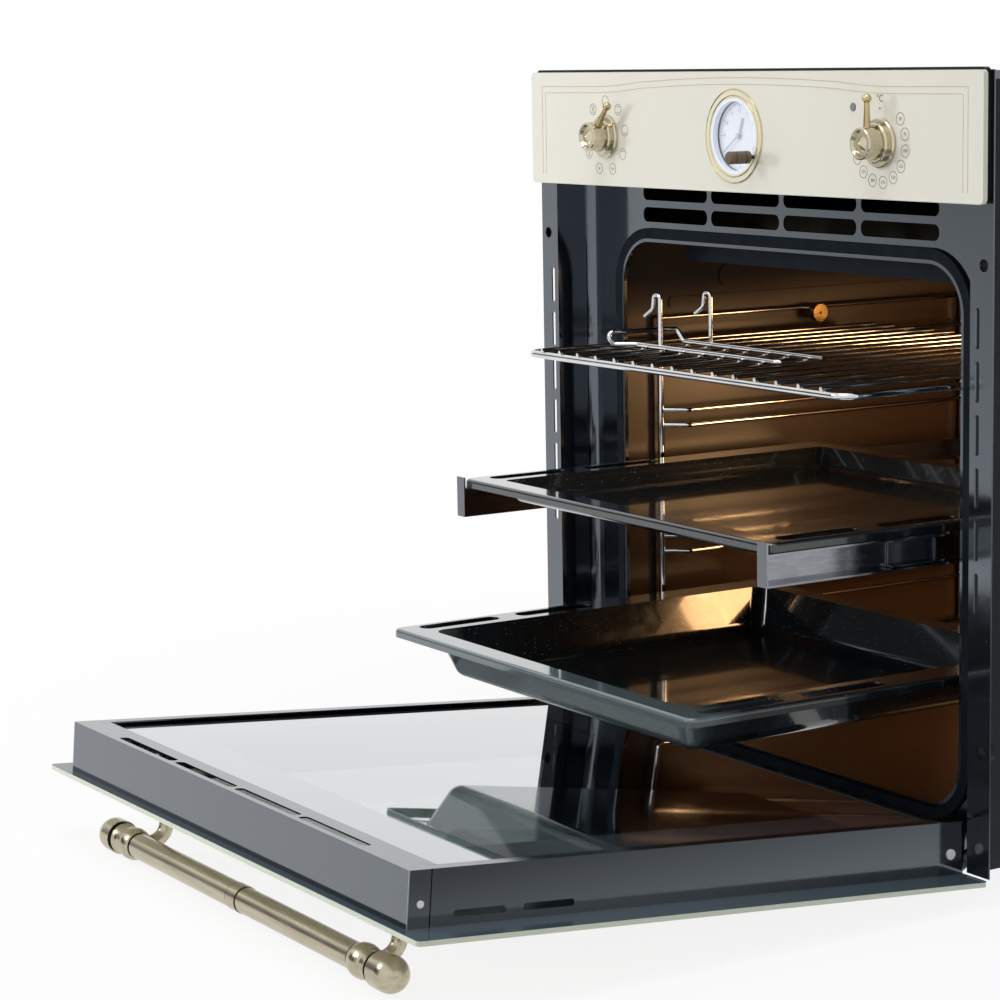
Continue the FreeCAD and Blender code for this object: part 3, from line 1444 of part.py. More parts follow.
def door_box(name, x, s, t):
    return box(name, x, (-s_at(s[1]), -s_at(s[0])), (t_at(t[0]), t_at(t[1])))


def make_door_glasses():
    def pane(name, half, s, t, thick, corner):
        body = new_body(name + "_body")
        outline = Outline(body, name + "_outline", "XY_Plane", lift=t_at(t))
        outline.rounded((-half, half), (-s_at(s[1]), -s_at(s[0])), corner)
        outline.pad(thick)
        node(on_door(body), name)

    thick = d.door_glass_thick
    span = (d.door_glass_start, door_glass_end)
    pane("door_outer_glass", half_front, span, -thick / 2, thick, d.door_glass_corner)
    half = half_door - d.middle_glass_gap
    span = (d.middle_glass_start, door_frame_end - d.middle_glass_drop)
    thick = d.middle_glass_thick
    pane("door_middle_glass", half, span, d.middle_glass_base, thick, d.inner_glass_corner)
    half = half_door - d.door_flange - d.inner_glass_gap
    span = (d.inner_glass_start, door_frame_end - d.inner_glass_drop)
    thick = d.inner_glass_thick
    pane("door_inner_glass", half, span, d.inner_glass_top - thick, thick, d.inner_glass_corner)


def make_door_rails():
    floor = d.door_glass_thick / 2
    top = d.door_frame_top
    thick = d.door_sheet
    ledge_inner = d.inner_glass_top - d.inner_glass_thick
    ledge_middle = d.middle_glass_base
    wall = half_door - thick

    def side_rail(side, name):
        body = new_body(name)
        full = door_seam - d.door_frame_start
        skin = Outline(body, name + "_skin_outline", "XZ_Plane", lift=s_at(d.door_frame_start))
        base_in = half_door - d.door_base_flange
        skin.polygon([(side * a, t_at(b)) for a, b in (
            (base_in, floor), (half_door, floor), (half_door, top), (wall, top), (wall, floor + thick),
            (base_in, floor + thick))])
        skin.pad(full)
        flange = Outline(body, name + "_flange_outline", "XZ_Plane", lift=s_at(d.door_flange_start))
        flange_in = half_door - d.door_flange
        flange.polygon([(side * a, t_at(b)) for a, b in (
            (flange_in, top - thick), (half_door, top - thick), (half_door, top), (flange_in, top))])
        flange.pad(door_seam - d.door_flange_start)
        ledge_in = half_door - d.door_ledge
        for word, level in (("inner", ledge_inner), ("middle", ledge_middle)):
            ledge = Outline(body, f"{name}_{word}_ledge", "XZ_Plane", lift=s_at(d.door_ledge_start))
            under = level - thick
            ledge.polygon([(side * a, t_at(b)) for a, b in (
                (ledge_in, under), (half_door, under), (half_door, level), (ledge_in, level))])
            ledge.pad(door_seam - d.door_ledge_start)
        slots = Outline(body, name + "_slot_outline", "YZ_Plane", lift=side * half_door)
        tall = d.side_slot_height / 2
        up = (t_at(d.side_slot_t - tall), t_at(d.side_slot_t + tall))
        for i in range(counts.side_slots):
            start = door_frame_end - d.side_slot_drop + i * d.side_slot_pitch
            along = (-s_at(start + d.side_slot_length), -s_at(start))
            slots.rounded(along, up, tall - d.slot_flat)
        slots.pocket(2 * thick, back=side < 0)
        return on_door(body)

    node(on_both_sides("door_rail", side_rail), "door_side_rails")
    body = new_body("door_top_rail_body")
    end = door_frame_end
    shell = Outline(body, "top_rail_outline", "YZ_Plane", lift=-half_door)
    shell.polygon([(-s_at(s), t_at(t)) for s, t in (
        (door_seam, floor), (end, floor), (end, top), (door_seam, top),
        (door_seam, top - thick), (end - thick, top - thick), (end - thick, floor + thick),
        (door_seam, floor + thick))])
    shell.pad(2 * half_door)
    face = Outline(body, "top_rail_face_outline", "XY_Plane", lift=t_at(top - thick))
    face_half = half_door - d.door_flange - d.seat_gap
    face_start = end - d.door_top_face
    face_front, face_back = -s_at(end), -s_at(face_start)
    face.polygon([
        (-face_half, face_front), (face_half, face_front), (face_half, face_back), (-face_half, face_back),
    ])
    face.pad(thick)
    for side in (-1, 1):
        cheek = Outline(body, f"top_rail_cheek_{side + 1}", "YZ_Plane", lift=side * half_door)
        cheek.polygon([(-s_at(s), t_at(t)) for s, t in (
            (end, floor), (door_seam, floor), (door_seam, top), (end, top))])
        cheek.pad(thick, back=side > 0)
    slots = Outline(body, "top_rail_slot_outline", "XY_Plane", lift=t_at(top))
    slot_run = (counts.door_slots - 1) * d.door_slot_pitch
    left = -(slot_run + d.door_slot_length) / 2
    slot_half = d.door_slot_width / 2
    slot_s = end - d.door_slot_drop
    along = (-s_at(slot_s + slot_half), -s_at(slot_s - slot_half))
    slots.rounded((left, left + d.door_slot_length), along, slot_half - d.slot_flat)
    slots.row(slots.pocket(2 * thick), "H_Axis", slot_run, counts.door_slots)
    node(on_door(body), "door_top_rail")
    half = half_door - d.door_base_flange
    bottom = door_box("bottom_rail_block", (-half, half), (d.bottom_rail_start, d.bottom_rail_end),
                      (floor, d.bottom_rail_top))
    beyond = half + d.cut_margin
    room_s = (d.bottom_rail_start + thick, d.bottom_rail_end + d.cut_margin)
    room_t = (floor + thick, d.bottom_rail_top - thick)
    room = door_box("bottom_rail_room", (-beyond, beyond), room_s, room_t)
    node(on_door(without("bottom_rail_channel", bottom, [room])), "door_bottom_rail")


def make_door_fasteners():
    pieces = []
    for side, word in ((-1, "left"), (1, "right")):
        for name, s, t, radius, rise in (
            ("rivet", door_frame_end - d.rivet_drop, d.rivet_t, d.rivet_radius, d.rivet_rise),
            ("screw", d.hinge_screw_s, d.hinge_screw_t, d.hinge_screw_radius, d.hinge_screw_rise),
        ):
            span = span_of(side, half_door, half_door + rise)
            pieces.append(rod(f"{name}_{word}", "X", (-s_at(s), t_at(t)), span, radius))
    node(on_door(group("fastener_group", pieces)), "door_fasteners")


def make_hinges():
    half = d.arm_thick / 2
    outer_start = half + d.seat_gap
    ear_outer = (arm_x + outer_start, arm_x + outer_start + d.ear_outer_thick)
    ear_inner = (arm_x - outer_start - d.ear_inner_thick, arm_x - outer_start)
    tail = frame_back + d.arm_tail

    def arm(side, name):
        body = new_body(name + "_plate")
        start = span_of(side, arm_x - half, arm_x + half)[0]
        eye = d.arm_eye_radius
        shoulder = d.recess_depth - d.arm_shoulder
        outline = Outline(body, name + "_outline", "YZ_Plane", lift=start)
        outline.polygon([
            (d.hinge_y, d.hinge_z - eye), (d.arm_neck, d.hinge_z - eye + d.arm_neck_rise),
            (shoulder, d.arm_heel), (tail, d.arm_heel), (tail, d.arm_top),
            (shoulder, d.arm_top), (d.hinge_y, d.hinge_z + eye),
        ])
        outline.pad(d.arm_thick)
        eye_disc = Outline(body, name + "_eye", "YZ_Plane", lift=start)
        eye_disc.circle(d.hinge_y, d.hinge_z, eye)
        eye_disc.pad(d.arm_thick)
        ends = span_of(side, ear_inner[0] + d.pin_overlap, ear_outer[1] - d.pin_overlap)
        pin = Outline(body, name + "_pin", "YZ_Plane", lift=ends[0])
        pin.circle(d.hinge_y, d.hinge_z, d.pin_radius)
        pin.pad(ends[1] - ends[0])
        return body

    node(on_both_sides("hinge_arm", arm), "hinge_arms")

    def receiver(side, name):
        wall = d.receiver_wall
        low, high = arm_x - half - d.seat_gap, arm_x + half + d.seat_gap
        along = (frame_back, frame_back + d.receiver_depth)
        floor, roof = d.arm_heel - d.seat_gap, d.arm_top + d.seat_gap
        case = box(name + "_case", span_of(side, low - wall, high + wall), along, (floor - wall, roof + wall))
        room_y = (frame_back - d.cut_margin, tail + d.seat_gap)
        room = box(name + "_room", span_of(side, low, high), room_y, (floor, roof))
        return without(name, case, [room])

    node(on_both_sides("hinge_receiver", receiver), "hinge_receivers")

    def housing(side, name):
        body = new_body(name)
        eye = d.arm_eye_radius
        floor = d.door_glass_thick / 2 + d.door_sheet + d.seat_gap
        back = d.hinge_inset + eye + d.ear_toe

        def ear(word, spans):
            start = span_of(side, *spans)
            plate = Outline(body, f"{name}_{word}_outline", "YZ_Plane", lift=start[0])
            plate.polygon([
                (0, -eye), (-s_at(back), t_at(floor)), (-s_at(d.ear_length), t_at(floor)),
                (-s_at(d.ear_length), t_at(d.ear_height)), (-s_at(back + d.ear_slope), t_at(d.ear_height)),
                (0, eye),
            ])
            plate.pad(start[1] - start[0])
            disc = Outline(body, f"{name}_{word}_eye", "YZ_Plane", lift=start[0])
            disc.circle(0, 0, eye)
            disc.pad(start[1] - start[0])

        ends = span_of(side, ear_inner[0], ear_outer[1])
        bridge = Outline(body, name + "_bridge_outline", "YZ_Plane", lift=ends[0])
        tall = d.ear_height
        bridge.polygon([(-s_at(s), t_at(t)) for s, t in (
            (d.ear_length, floor), (d.ear_root, floor), (d.ear_root, tall), (d.ear_length, tall))])
        bridge.pad(ends[1] - ends[0])
        ear("outer", ear_outer)
        ear("inner", ear_inner)
        bore = Outline(body, name + "_bore_outline", "YZ_Plane", lift=ends[0] - d.cut_margin)
        bore.circle(0, 0, d.pin_radius + d.running_gap)
        bore.pocket(ends[1] - ends[0] + 2 * d.cut_margin, back=True)
        return on_door(body)

    node(on_both_sides("hinge_housing", housing), "hinge_housings")


def make_handle():
    # Shares of the collar's length, and of its swell from the neck to the ball's crown
    collar_crown = 0.3
    collar_shape = (
        (0.05, 0.42), (0.12, 0.72), (0.2, 0.93), (collar_crown, 1), (0.4, 0.93), (0.48, 0.72), (0.56, 0.42),
        (0.64, 0), (0.8, 0), (0.9, 0.24), (1, 0.76),
    )
    y, z = -s_at(door_glass_end - d.handle_inset), t_at(-d.handle_drop)
    ring_end = d.collar_inner
    bar_end = ring_end - d.ring_thick
    collar_end = d.collar_inner + d.collar_length
    outer_end = collar_end + d.outer_ring_thick

    def turned_piece(name, points):
        body = new_body(name)
        profile = Outline(body, name + "_profile", "XY_Plane", lift=z, shift=y)
        profile.polygon(points)
        profile.revolve("H_Axis")
        return body

    r, groove, wide, band = d.handle_radius, d.handle_groove, d.handle_groove_width, d.handle_band
    right = [
        (band, r + groove / 2), (band, r - groove), (band + wide, r - groove), (band + wide, r),
        (bar_end, r), (bar_end, 0),
    ]
    left = [(-a, b) for a, b in reversed(right)]
    node(on_door(turned_piece("handle_bar_body", left + right)), "handle_bar")

    def post(side, name):
        neck, ball = d.collar_neck_radius, d.collar_radius
        start, length = d.collar_inner, d.collar_length
        points = [(start, 0), (start, neck)]
        points += [(start + length * along, neck + (ball - neck) * swell) for along, swell in collar_shape]
        points += [(collar_end, 0)]
        collar = turned_piece(name + "_collar", [(side * a, b) for a, b in points])
        x = side * (start + length * collar_crown)
        glass = t_at(-d.door_glass_thick / 2)
        reach = y + d.post_reach
        route = [(x, y, z), (x, reach, z), (x, reach, glass)]
        neck_wire = solid(name + "_neck", bent_wire(route, d.post_neck_radius, d.post_turn))
        foot = rod(name + "_foot", "Z", (x, reach), (glass - d.post_foot_height, glass), d.post_foot_radius)
        return on_door(joined(name, [collar, neck_wire, foot]))

    node(on_both_sides("handle_post", post), "handle_posts")

    def cap(side, name):
        straight = outer_end + d.cap_length - d.cap_radius
        barrel = rod(name + "_barrel", "X", (y, z), span_of(side, outer_end, straight), d.cap_radius)
        dome = doc.addObject("Part::Sphere", name + "_dome")
        dome.setExpression("Radius", d.cap_radius.text)
        dome.Angle1 = 0
        place(dome, side * straight, y, z, FreeCAD.Rotation(vec(0, 1, 0), side * 90))
        return on_door(joined(name, [barrel, dome]))

    node(on_both_sides("handle_cap", cap), "handle_caps")
    rings = []
    for side, word in ((-1, "left"), (1, "right")):
        inner_ring = span_of(side, bar_end, ring_end)
        outer_ring = span_of(side, collar_end, outer_end)
        rings.append(rod(f"inner_ring_{word}", "X", (y, z), inner_ring, r - groove / 2))
        rings.append(rod(f"outer_ring_{word}", "X", (y, z), outer_ring, d.outer_ring_radius))
    node(on_door(group("ring_group", rings)), "handle_rings")


make_front_frame()
make_screw_bushes()
make_casing()
make_cavity()
make_insulation()
make_gasket()
make_deflector()
make_elements()
make_fan()
make_lamp()
make_blower()
make_terminal_block()
make_panel()
make_knobs()
make_clock()
make_ladders()
make_runners()
make_trays()
make_rack()
make_stand()
make_door_glasses()
make_door_rails()
make_door_fasteners()
make_hinges()
make_handle()
doc.recompute()

for item in doc.Objects:
    if "Invalid" in item.State or "Error" in item.State:
        raise RuntimeError(f"{item.Label} failed: {item.State}")
for item in nodes:
    if item.Shape.isNull() or not item.Shape.isValid():
        raise RuntimeError(f"{item.Label} has no valid shape")
os.makedirs("parts", exist_ok=True)
for item in nodes:
    item.Shape.exportStep(f"parts/{item.Label}.step")
print(f"{len(nodes)} nodes written")
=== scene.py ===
import math
import bmesh
import bpy
from mathutils import Matrix, Vector


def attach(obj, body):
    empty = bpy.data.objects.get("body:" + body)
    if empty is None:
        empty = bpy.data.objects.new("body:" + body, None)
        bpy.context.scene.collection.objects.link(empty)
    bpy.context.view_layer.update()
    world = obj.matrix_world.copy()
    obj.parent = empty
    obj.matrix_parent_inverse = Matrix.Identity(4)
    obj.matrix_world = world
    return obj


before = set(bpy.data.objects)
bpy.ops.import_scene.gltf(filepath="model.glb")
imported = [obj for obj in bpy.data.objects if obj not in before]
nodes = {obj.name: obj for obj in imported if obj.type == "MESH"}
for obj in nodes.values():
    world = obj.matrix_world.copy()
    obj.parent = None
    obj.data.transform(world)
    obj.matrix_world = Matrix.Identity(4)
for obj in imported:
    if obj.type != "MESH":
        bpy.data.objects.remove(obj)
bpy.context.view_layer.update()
scene = bpy.context.scene
scene.view_settings.view_transform = "Standard"
print("stage: frame loaded,", len(nodes), "nodes")


class Wire:
    # one output socket of a shader tree, which sums and products turn into Math nodes
    def __init__(self, tree, socket):
        self.tree = tree
        self.socket = socket

    @staticmethod
    def add(tree, kind, settings=None, inputs=None, output=0):
        node = tree.nodes.new(kind)
        for key, value in (settings or {}).items():
            setattr(node, key, value)
        for key, value in (inputs or {}).items():
            if isinstance(value, Wire):
                tree.links.new(value.socket, node.inputs[key])
            else:
                node.inputs[key].default_value = value
        return Wire(tree, node.outputs[output]) if node.outputs else None

    def reckon(self, operation, first, second=0.0):
        return Wire.add(self.tree, "ShaderNodeMath", {"operation": operation}, {0: first, 1: second})

    def __add__(self, other):
        return self.reckon("ADD", self, other)

    def __radd__(self, other):
        return self.reckon("ADD", other, self)

    def __sub__(self, other):
        return self.reckon("SUBTRACT", self, other)

    def __rsub__(self, other):
        return self.reckon("SUBTRACT", other, self)

    def __mul__(self, other):
        return self.reckon("MULTIPLY", self, other)

    def __rmul__(self, other):
        return self.reckon("MULTIPLY", other, self)

    def __pow__(self, other):
        return self.reckon("POWER", self, other)

    def __rpow__(self, other):
        return self.reckon("POWER", other, self)

    def __gt__(self, other):
        return self.reckon("GREATER_THAN", self, other)

    def __lt__(self, other):
        return self.reckon("LESS_THAN", self, other)

    def __abs__(self):
        return self.reckon("ABSOLUTE", self)

    def larger(self, other):
        return self.reckon("MAXIMUM", self, other)

    def smaller(self, other):
        return self.reckon("MINIMUM", self, other)

    def span(self, low, high, bottom=0.0, top=1.0):
        ends = {"Value": self, "From Min": low, "From Max": high, "To Min": bottom, "To Max": top}
        return Wire.add(self.tree, "ShaderNodeMapRange", {}, ends)

    def blend(self, first, second):
        ends = {0: self, 6: first, 7: second}
        return Wire.add(self.tree, "ShaderNodeMix", {"data_type": "RGBA"}, ends, 2)

    def parts(self):
        split = Wire.add(self.tree, "ShaderNodeSeparateXYZ", {}, {0: self}).socket.node
        return [Wire(self.tree, socket) for socket in split.outputs]


white = (1.0, 1.0, 1.0, 1.0)
black = (0.0, 0.0, 0.0, 1.0)
# levels of a noise over which one tone turns into the other
levels = {"narrow": (0.35, 0.65), "usual": (0.3, 0.7), "wide": (0.2, 0.8)}


def shade(red, green, blue):
    # a colour as the screen shows it, 0 to 255, to the linear values that shaders take
    def straight(level):
        level = level / 255.0
        return level / 12.92 if level <= 0.04045 else ((level + 0.055) / 1.055) ** 2.4
    return (straight(red), straight(green), straight(blue), 1.0)


def place(tree):
    return Wire.add(tree, "ShaderNodeTexCoord", output="Object")


def stretched(tree, stretch):
    scales = {0: place(tree), 1: stretch}
    return Wire.add(tree, "ShaderNodeVectorMath", {"operation": "MULTIPLY"}, scales)


def grain(tree, scale, detail=2.0, vector=None):
    inputs = {"Vector": vector or place(tree), "Scale": scale, "Detail": detail}
    return Wire.add(tree, "ShaderNodeTexNoise", {}, inputs)


def drift(noise, first, second, reach=levels["usual"]):
    # one colour that wanders into another
    return noise.span(*reach).blend(first, second)


def polish(noise, roughness):
    # a roughness that wanders between two values
    return noise.span(*levels["usual"], *roughness)


def cells(tree, scale, output="Distance"):
    return Wire.add(tree, "ShaderNodeTexVoronoi", {}, {"Vector": place(tree), "Scale": scale}, output)


def speckle(tree, scale, share, edge, channel=0):
    # small round spots in some of the cells, chosen by one channel of the cells' own colours
    chosen = cells(tree, scale, "Color").parts()[channel] > share
    return chosen * cells(tree, scale).span(*edge, 1.0, 0.0)


def bump(height, strength, distance):
    inputs = {"Strength": strength, "Distance": distance, "Height": height}
    return Wire.add(height.tree, "ShaderNodeBump", {}, inputs)


def principled(tree, inputs):
    return Wire.add(tree, "ShaderNodeBsdfPrincipled", {}, inputs)


def mixShader(factor, first, second):
    return Wire.add(factor.tree, "ShaderNodeMixShader", {}, {0: factor, 1: first, 2: second})


def makeLook(name, recipe):
    material = bpy.data.materials.new(name)
    material.use_nodes = True
    tree = material.node_tree
    tree.nodes.clear()
    Wire.add(tree, "ShaderNodeOutputMaterial", {}, {"Surface": recipe(tree)})
    return material


# the open door's own directions, along it from the hinge and up through it, as the CAD places it;
# inset and rise say where the hinge lies past the door's start and above the middle of its outer glass
door = {
    "hinge": Vector((0.0, 0.0004, 0.0045)), "lean": math.radians(4.89), "inset": 0.00107, "rise": 0.008,
}
doorAlong = Vector((0.0, -math.cos(door["lean"]), math.sin(door["lean"])))
doorUp = Vector((0.0, math.sin(door["lean"]), math.cos(door["lean"])))
doorStart = door["hinge"].dot(doorAlong) - door["inset"]
doorMiddle = door["hinge"].dot(doorUp) - door["rise"]
doorSeam = max(doorAlong.dot(vertex.co) for vertex in nodes["door_side_rails"].data.vertices)


def doorReach(tree, direction, start):
    # how far a point lies past a start along one of the door's directions
    dot = {0: place(tree), 1: direction}
    return Wire.add(tree, "ShaderNodeVectorMath", {"operation": "DOT_PRODUCT"}, dot, "Value") - start


panelGlass = {
    "cream": shade(233, 231, 220), "warm": shade(230, 227, 214), "edge": shade(216, 220, 204),
    "drift": 4.0, "roughness": (0.10, 0.16), "polish": 60.0, "index": 1.5,
    "halfWidth": 0.2967, "floor": 0.4966, "top": 0.592, "rim": 0.0007,
}


def panelGlassLook(tree):
    x, _, z = place(tree).parts()
    noise = grain(tree, panelGlass["drift"])
    cream = drift(noise, panelGlass["cream"], panelGlass["warm"], levels["narrow"])
    side = abs(x) > panelGlass["halfWidth"] - panelGlass["rim"]
    top = z > panelGlass["top"] - panelGlass["rim"]
    foot = z < panelGlass["floor"] + panelGlass["rim"]
    colour = side.larger(top.larger(foot)).blend(cream, panelGlass["edge"])
    roughness = polish(grain(tree, panelGlass["polish"]), panelGlass["roughness"])
    return principled(tree, {"Base Color": colour, "Roughness": roughness, "IOR": panelGlass["index"]})


# cream on its outer face, green at its cut edges and painted dark on its inner face
outerGlass = {
    "cream": shade(230, 227, 213), "warm": shade(226, 222, 206), "edge": shade(206, 213, 196),
    "paint": shade(68, 82, 92), "half": 0.0017,
    "drift": 4.0, "roughness": (0.08, 0.14), "polish": 60.0, "index": 1.5,
}


def outerGlassLook(tree):
    up = doorReach(tree, doorUp, doorMiddle)
    noise = grain(tree, outerGlass["drift"])
    cream = drift(noise, outerGlass["cream"], outerGlass["warm"], levels["narrow"])
    colour = (up > -outerGlass["half"]).blend(cream, outerGlass["edge"])
    colour = (up > outerGlass["half"]).blend(colour, outerGlass["paint"])
    roughness = polish(grain(tree, outerGlass["polish"]), outerGlass["roughness"])
    return principled(tree, {"Base Color": colour, "Roughness": roughness, "IOR": outerGlass["index"]})


clearGlass = {
    "tint": (0.90, 0.94, 0.92, 1.0), "clockTint": (0.97, 0.98, 1.0, 1.0), "sheen": (0.96, 0.98, 1.0, 1.0),
    "index": 1.5, "faces": 3.0, "smear": (0.0, 0.03), "smearScale": 9.0, "smearReach": (0.4, 0.7),
}


def paneShader(tree, tint, printed=None, enamel=None):
    # straight-through glass: only faces towards the ray reflect, as much as a coated sheet's faces together
    fresnel = Wire.add(tree, "ShaderNodeFresnel", {}, {"IOR": clearGlass["index"]})
    behind = Wire.add(tree, "ShaderNodeNewGeometry", output="Backfacing")
    share = (1.0 - (1.0 - fresnel) ** clearGlass["faces"]) * (1.0 - behind)
    under = Wire.add(tree, "ShaderNodeBsdfTransparent", {}, {"Color": tint})
    if printed:
        under = mixShader(printed, under, enamel)
    smear = grain(tree, clearGlass["smearScale"]).span(*clearGlass["smearReach"], *clearGlass["smear"])
    mirror = principled(tree, {"Base Color": clearGlass["sheen"], "Metallic": 1.0, "Roughness": smear})
    return mixShader(share, under, mirror)


def clearGlassLook(tree):
    return paneShader(tree, clearGlass["tint"])


def clockGlassLook(tree):
    return paneShader(tree, clearGlass["clockTint"])


# a printed border with a black line along its outer edge
innerGlass = {
    "border": shade(58, 63, 70), "borderTone": shade(66, 71, 78), "line": shade(12, 12, 13),
    "drift": 30.0, "matt": 0.5, "halfWidth": 0.257, "start": 0.026, "end": 0.453,
    "margin": 0.047, "soft": 0.0006, "lineWidth": 0.003,
}


def innerGlassLook(tree):
    x = place(tree).parts()[0]
    along = doorReach(tree, doorAlong, doorStart)
    inside = (innerGlass["halfWidth"] - abs(x)).smaller(along - innerGlass["start"])
    inside = inside.smaller(innerGlass["end"] - along)
    printed = inside.span(innerGlass["margin"], innerGlass["margin"] + innerGlass["soft"], 1.0, 0.0)
    noise = grain(tree, innerGlass["drift"])
    tone = drift(noise, innerGlass["border"], innerGlass["borderTone"], levels["narrow"])
    colour = (inside < innerGlass["lineWidth"]).blend(tone, innerGlass["line"])
    matt = {"Base Color": colour, "Roughness": innerGlass["matt"], "Specular IOR Level": 0.0}
    return paneShader(tree, clearGlass["tint"], printed, principled(tree, matt))


darkEnamel = {
    "base": shade(15, 18, 23), "deep": shade(11, 13, 18), "drift": 14.0,
    "roughness": (0.08, 0.13), "polish": 90.0, "index": 2.15, "sheen": (0.74, 0.86, 1.0, 1.0),
    "coat": 0.5, "coatRoughness": 0.06, "peel": 420.0, "peelStrength": 0.04, "peelDepth": 0.0004,
    "fleck": shade(150, 160, 162), "flecks": 150.0, "fleckShare": 0.80, "fleckEdge": (0.03, 0.06),
    "sideX": 0.2693, "gap": shade(14, 15, 17), "gapMatt": 0.8, "halfGap": 0.00045,
    # rim is a painted highlight along the corners of the door's sides: its colour, width and place past the
    # seam
    "rim": shade(130, 140, 148), "highlightWidth": 0.0007, "cheek": 0.0175,
}


def darkEnamelLook(tree):
    tone = drift(grain(tree, darkEnamel["drift"]), darkEnamel["base"], darkEnamel["deep"])
    roughness = polish(grain(tree, darkEnamel["polish"]), darkEnamel["roughness"])
    peel = bump(grain(tree, darkEnamel["peel"]), darkEnamel["peelStrength"], darkEnamel["peelDepth"])
    flecks = speckle(tree, darkEnamel["flecks"], darkEnamel["fleckShare"], darkEnamel["fleckEdge"])
    colour = flecks.blend(tone, darkEnamel["fleck"])
    # the seam between the rails, and a painted highlight along the corner of the door's sides
    side = abs(place(tree).parts()[0]) > darkEnamel["sideX"]
    past = doorReach(tree, doorAlong, doorSeam)
    rim = side * (past > darkEnamel["cheek"] - darkEnamel["highlightWidth"])
    enamel = principled(tree, {
        "Base Color": rim.blend(colour, darkEnamel["rim"]), "Roughness": roughness, "Normal": peel,
        "IOR": darkEnamel["index"], "Specular Tint": darkEnamel["sheen"],
        "Coat Weight": darkEnamel["coat"], "Coat Roughness": darkEnamel["coatRoughness"],
    })
    matt = {"Base Color": darkEnamel["gap"], "Roughness": darkEnamel["gapMatt"], "Specular IOR Level": 0.0}
    return mixShader(side * (abs(past) < darkEnamel["halfGap"]), enamel, principled(tree, matt))


granite = {
    "base": shade(21, 28, 32), "deep": shade(16, 21, 25), "drift": 20.0,
    # pale, laid on towards the front, is a painted highlight on the trays' front rims and walls
    "pale": shade(84, 97, 101), "frontY": (-0.160, -0.190),
    "mist": shade(62, 76, 82), "fine": 1500.0, "fineShare": 0.92, "fineEdge": (0.20, 0.40),
    "fleck": shade(128, 142, 148), "flecks": 760.0, "fleckShare": 0.97, "fleckEdge": (0.16, 0.32),
    "roughness": (0.10, 0.18), "polish": 120.0, "coat": 1.0, "coatRoughness": 0.05,
    "peel": 300.0, "peelStrength": 0.08, "peelDepth": 0.0004,
}


def graniteLook(tree):
    tone = drift(grain(tree, granite["drift"]), granite["base"], granite["deep"])
    large = speckle(tree, granite["flecks"], granite["fleckShare"], granite["fleckEdge"])
    small = speckle(tree, granite["fine"], granite["fineShare"], granite["fineEdge"], 1)
    front = place(tree).parts()[1].span(*granite["frontY"])  # painted highlight: paler along the front rims, for the light they catch
    colour = small.blend(front.blend(tone, granite["pale"]), granite["mist"])
    return principled(tree, {
        "Base Color": large.blend(colour, granite["fleck"]),
        "Roughness": polish(grain(tree, granite["polish"]), granite["roughness"]),
        "Normal": bump(grain(tree, granite["peel"]), granite["peelStrength"], granite["peelDepth"]),
        "Coat Weight": granite["coat"], "Coat Roughness": granite["coatRoughness"],
    })


cavityEnamel = {
    "base": shade(48, 35, 27), "deep": shade(44, 32, 24), "drift": 4.0,
    "fleck": shade(52, 39, 31), "flecks": 900.0, "fleckShare": 0.93, "fleckEdge": (0.15, 0.3),
    "roughness": (0.30, 0.32), "polish": 30.0, "gloss": 0.5,
    "peel": 40.0, "peelStrength": 0.02, "peelDepth": 0.0002,
    # a painted shadow under the roof: its colour, the heights over which it comes in and the roughness it
    # adds
    "roofShade": shade(16, 12, 10), "roofShadeZ": (0.375, 0.41), "roofShadeRoughness": 0.55,
}


def cavityLook(tree):
    noise = grain(tree, cavityEnamel["drift"])
    tone = drift(noise, cavityEnamel["base"], cavityEnamel["deep"], levels["wide"])
    roofShade = place(tree).parts()[2].span(*cavityEnamel["roofShadeZ"])  # painted shadow: darker and duller under the roof
    flecks = speckle(tree, cavityEnamel["flecks"], cavityEnamel["fleckShare"], cavityEnamel["fleckEdge"])
    colour = flecks.blend(roofShade.blend(tone, cavityEnamel["roofShade"]), cavityEnamel["fleck"])
    roughness = polish(grain(tree, cavityEnamel["polish"]), cavityEnamel["roughness"])
    noise = grain(tree, cavityEnamel["peel"])
    return principled(tree, {
        "Base Color": colour, "Roughness": roughness + roofShade * cavityEnamel["roofShadeRoughness"],
        "Normal": bump(noise, cavityEnamel["peelStrength"], cavityEnamel["peelDepth"]),
        "Specular IOR Level": cavityEnamel["gloss"],
    })


# painted light: the tube round the dial is painted pale and made to glow, though it is no lamp
clockPlate = {
    "z": 0.541, "rings": (0.0369, 0.0320), "halfRing": 0.00062, "gilt": shade(206, 190, 138),
    "cream": shade(233, 229, 210), "warm": shade(229, 223, 200), "drift": 30.0, "roughness": (0.24, 0.20),
    "tube": 0.0300, "pale": shade(232, 237, 245), "glow": (0.08, 0.09, 0.11, 1.0),
}


def clockPlateLook(tree):
    x, _, z = place(tree).parts()
    high = z - clockPlate["z"]
    radius = (x * x + high * high) ** 0.5
    first, second = [abs(radius - ring) < clockPlate["halfRing"] for ring in clockPlate["rings"]]
    gilt = first.larger(second)
    noise = grain(tree, clockPlate["drift"])
    cream = drift(noise, clockPlate["cream"], clockPlate["warm"], levels["narrow"])
    tube = radius < clockPlate["tube"]
    # painted light on the tube: a pale colour and a faint glow
    return principled(tree, {
        "Base Color": gilt.blend(tube.blend(cream, clockPlate["pale"]), clockPlate["gilt"]),
        "Metallic": gilt, "Roughness": gilt.span(0.0, 1.0, *clockPlate["roughness"]),
        "Emission Color": tube.blend(black, clockPlate["glow"]), "Emission Strength": 1.0,
    })


# the dial glows faintly though it is no lamp: painted light that keeps the recessed dial bright
dialFace = {
    "white": shade(250, 251, 253), "tone": shade(247, 249, 252), "drift": 50.0,
    "roughness": (0.30, 0.45), "polish": 200.0, "glow": (0.14, 0.14, 0.14, 1.0),
}


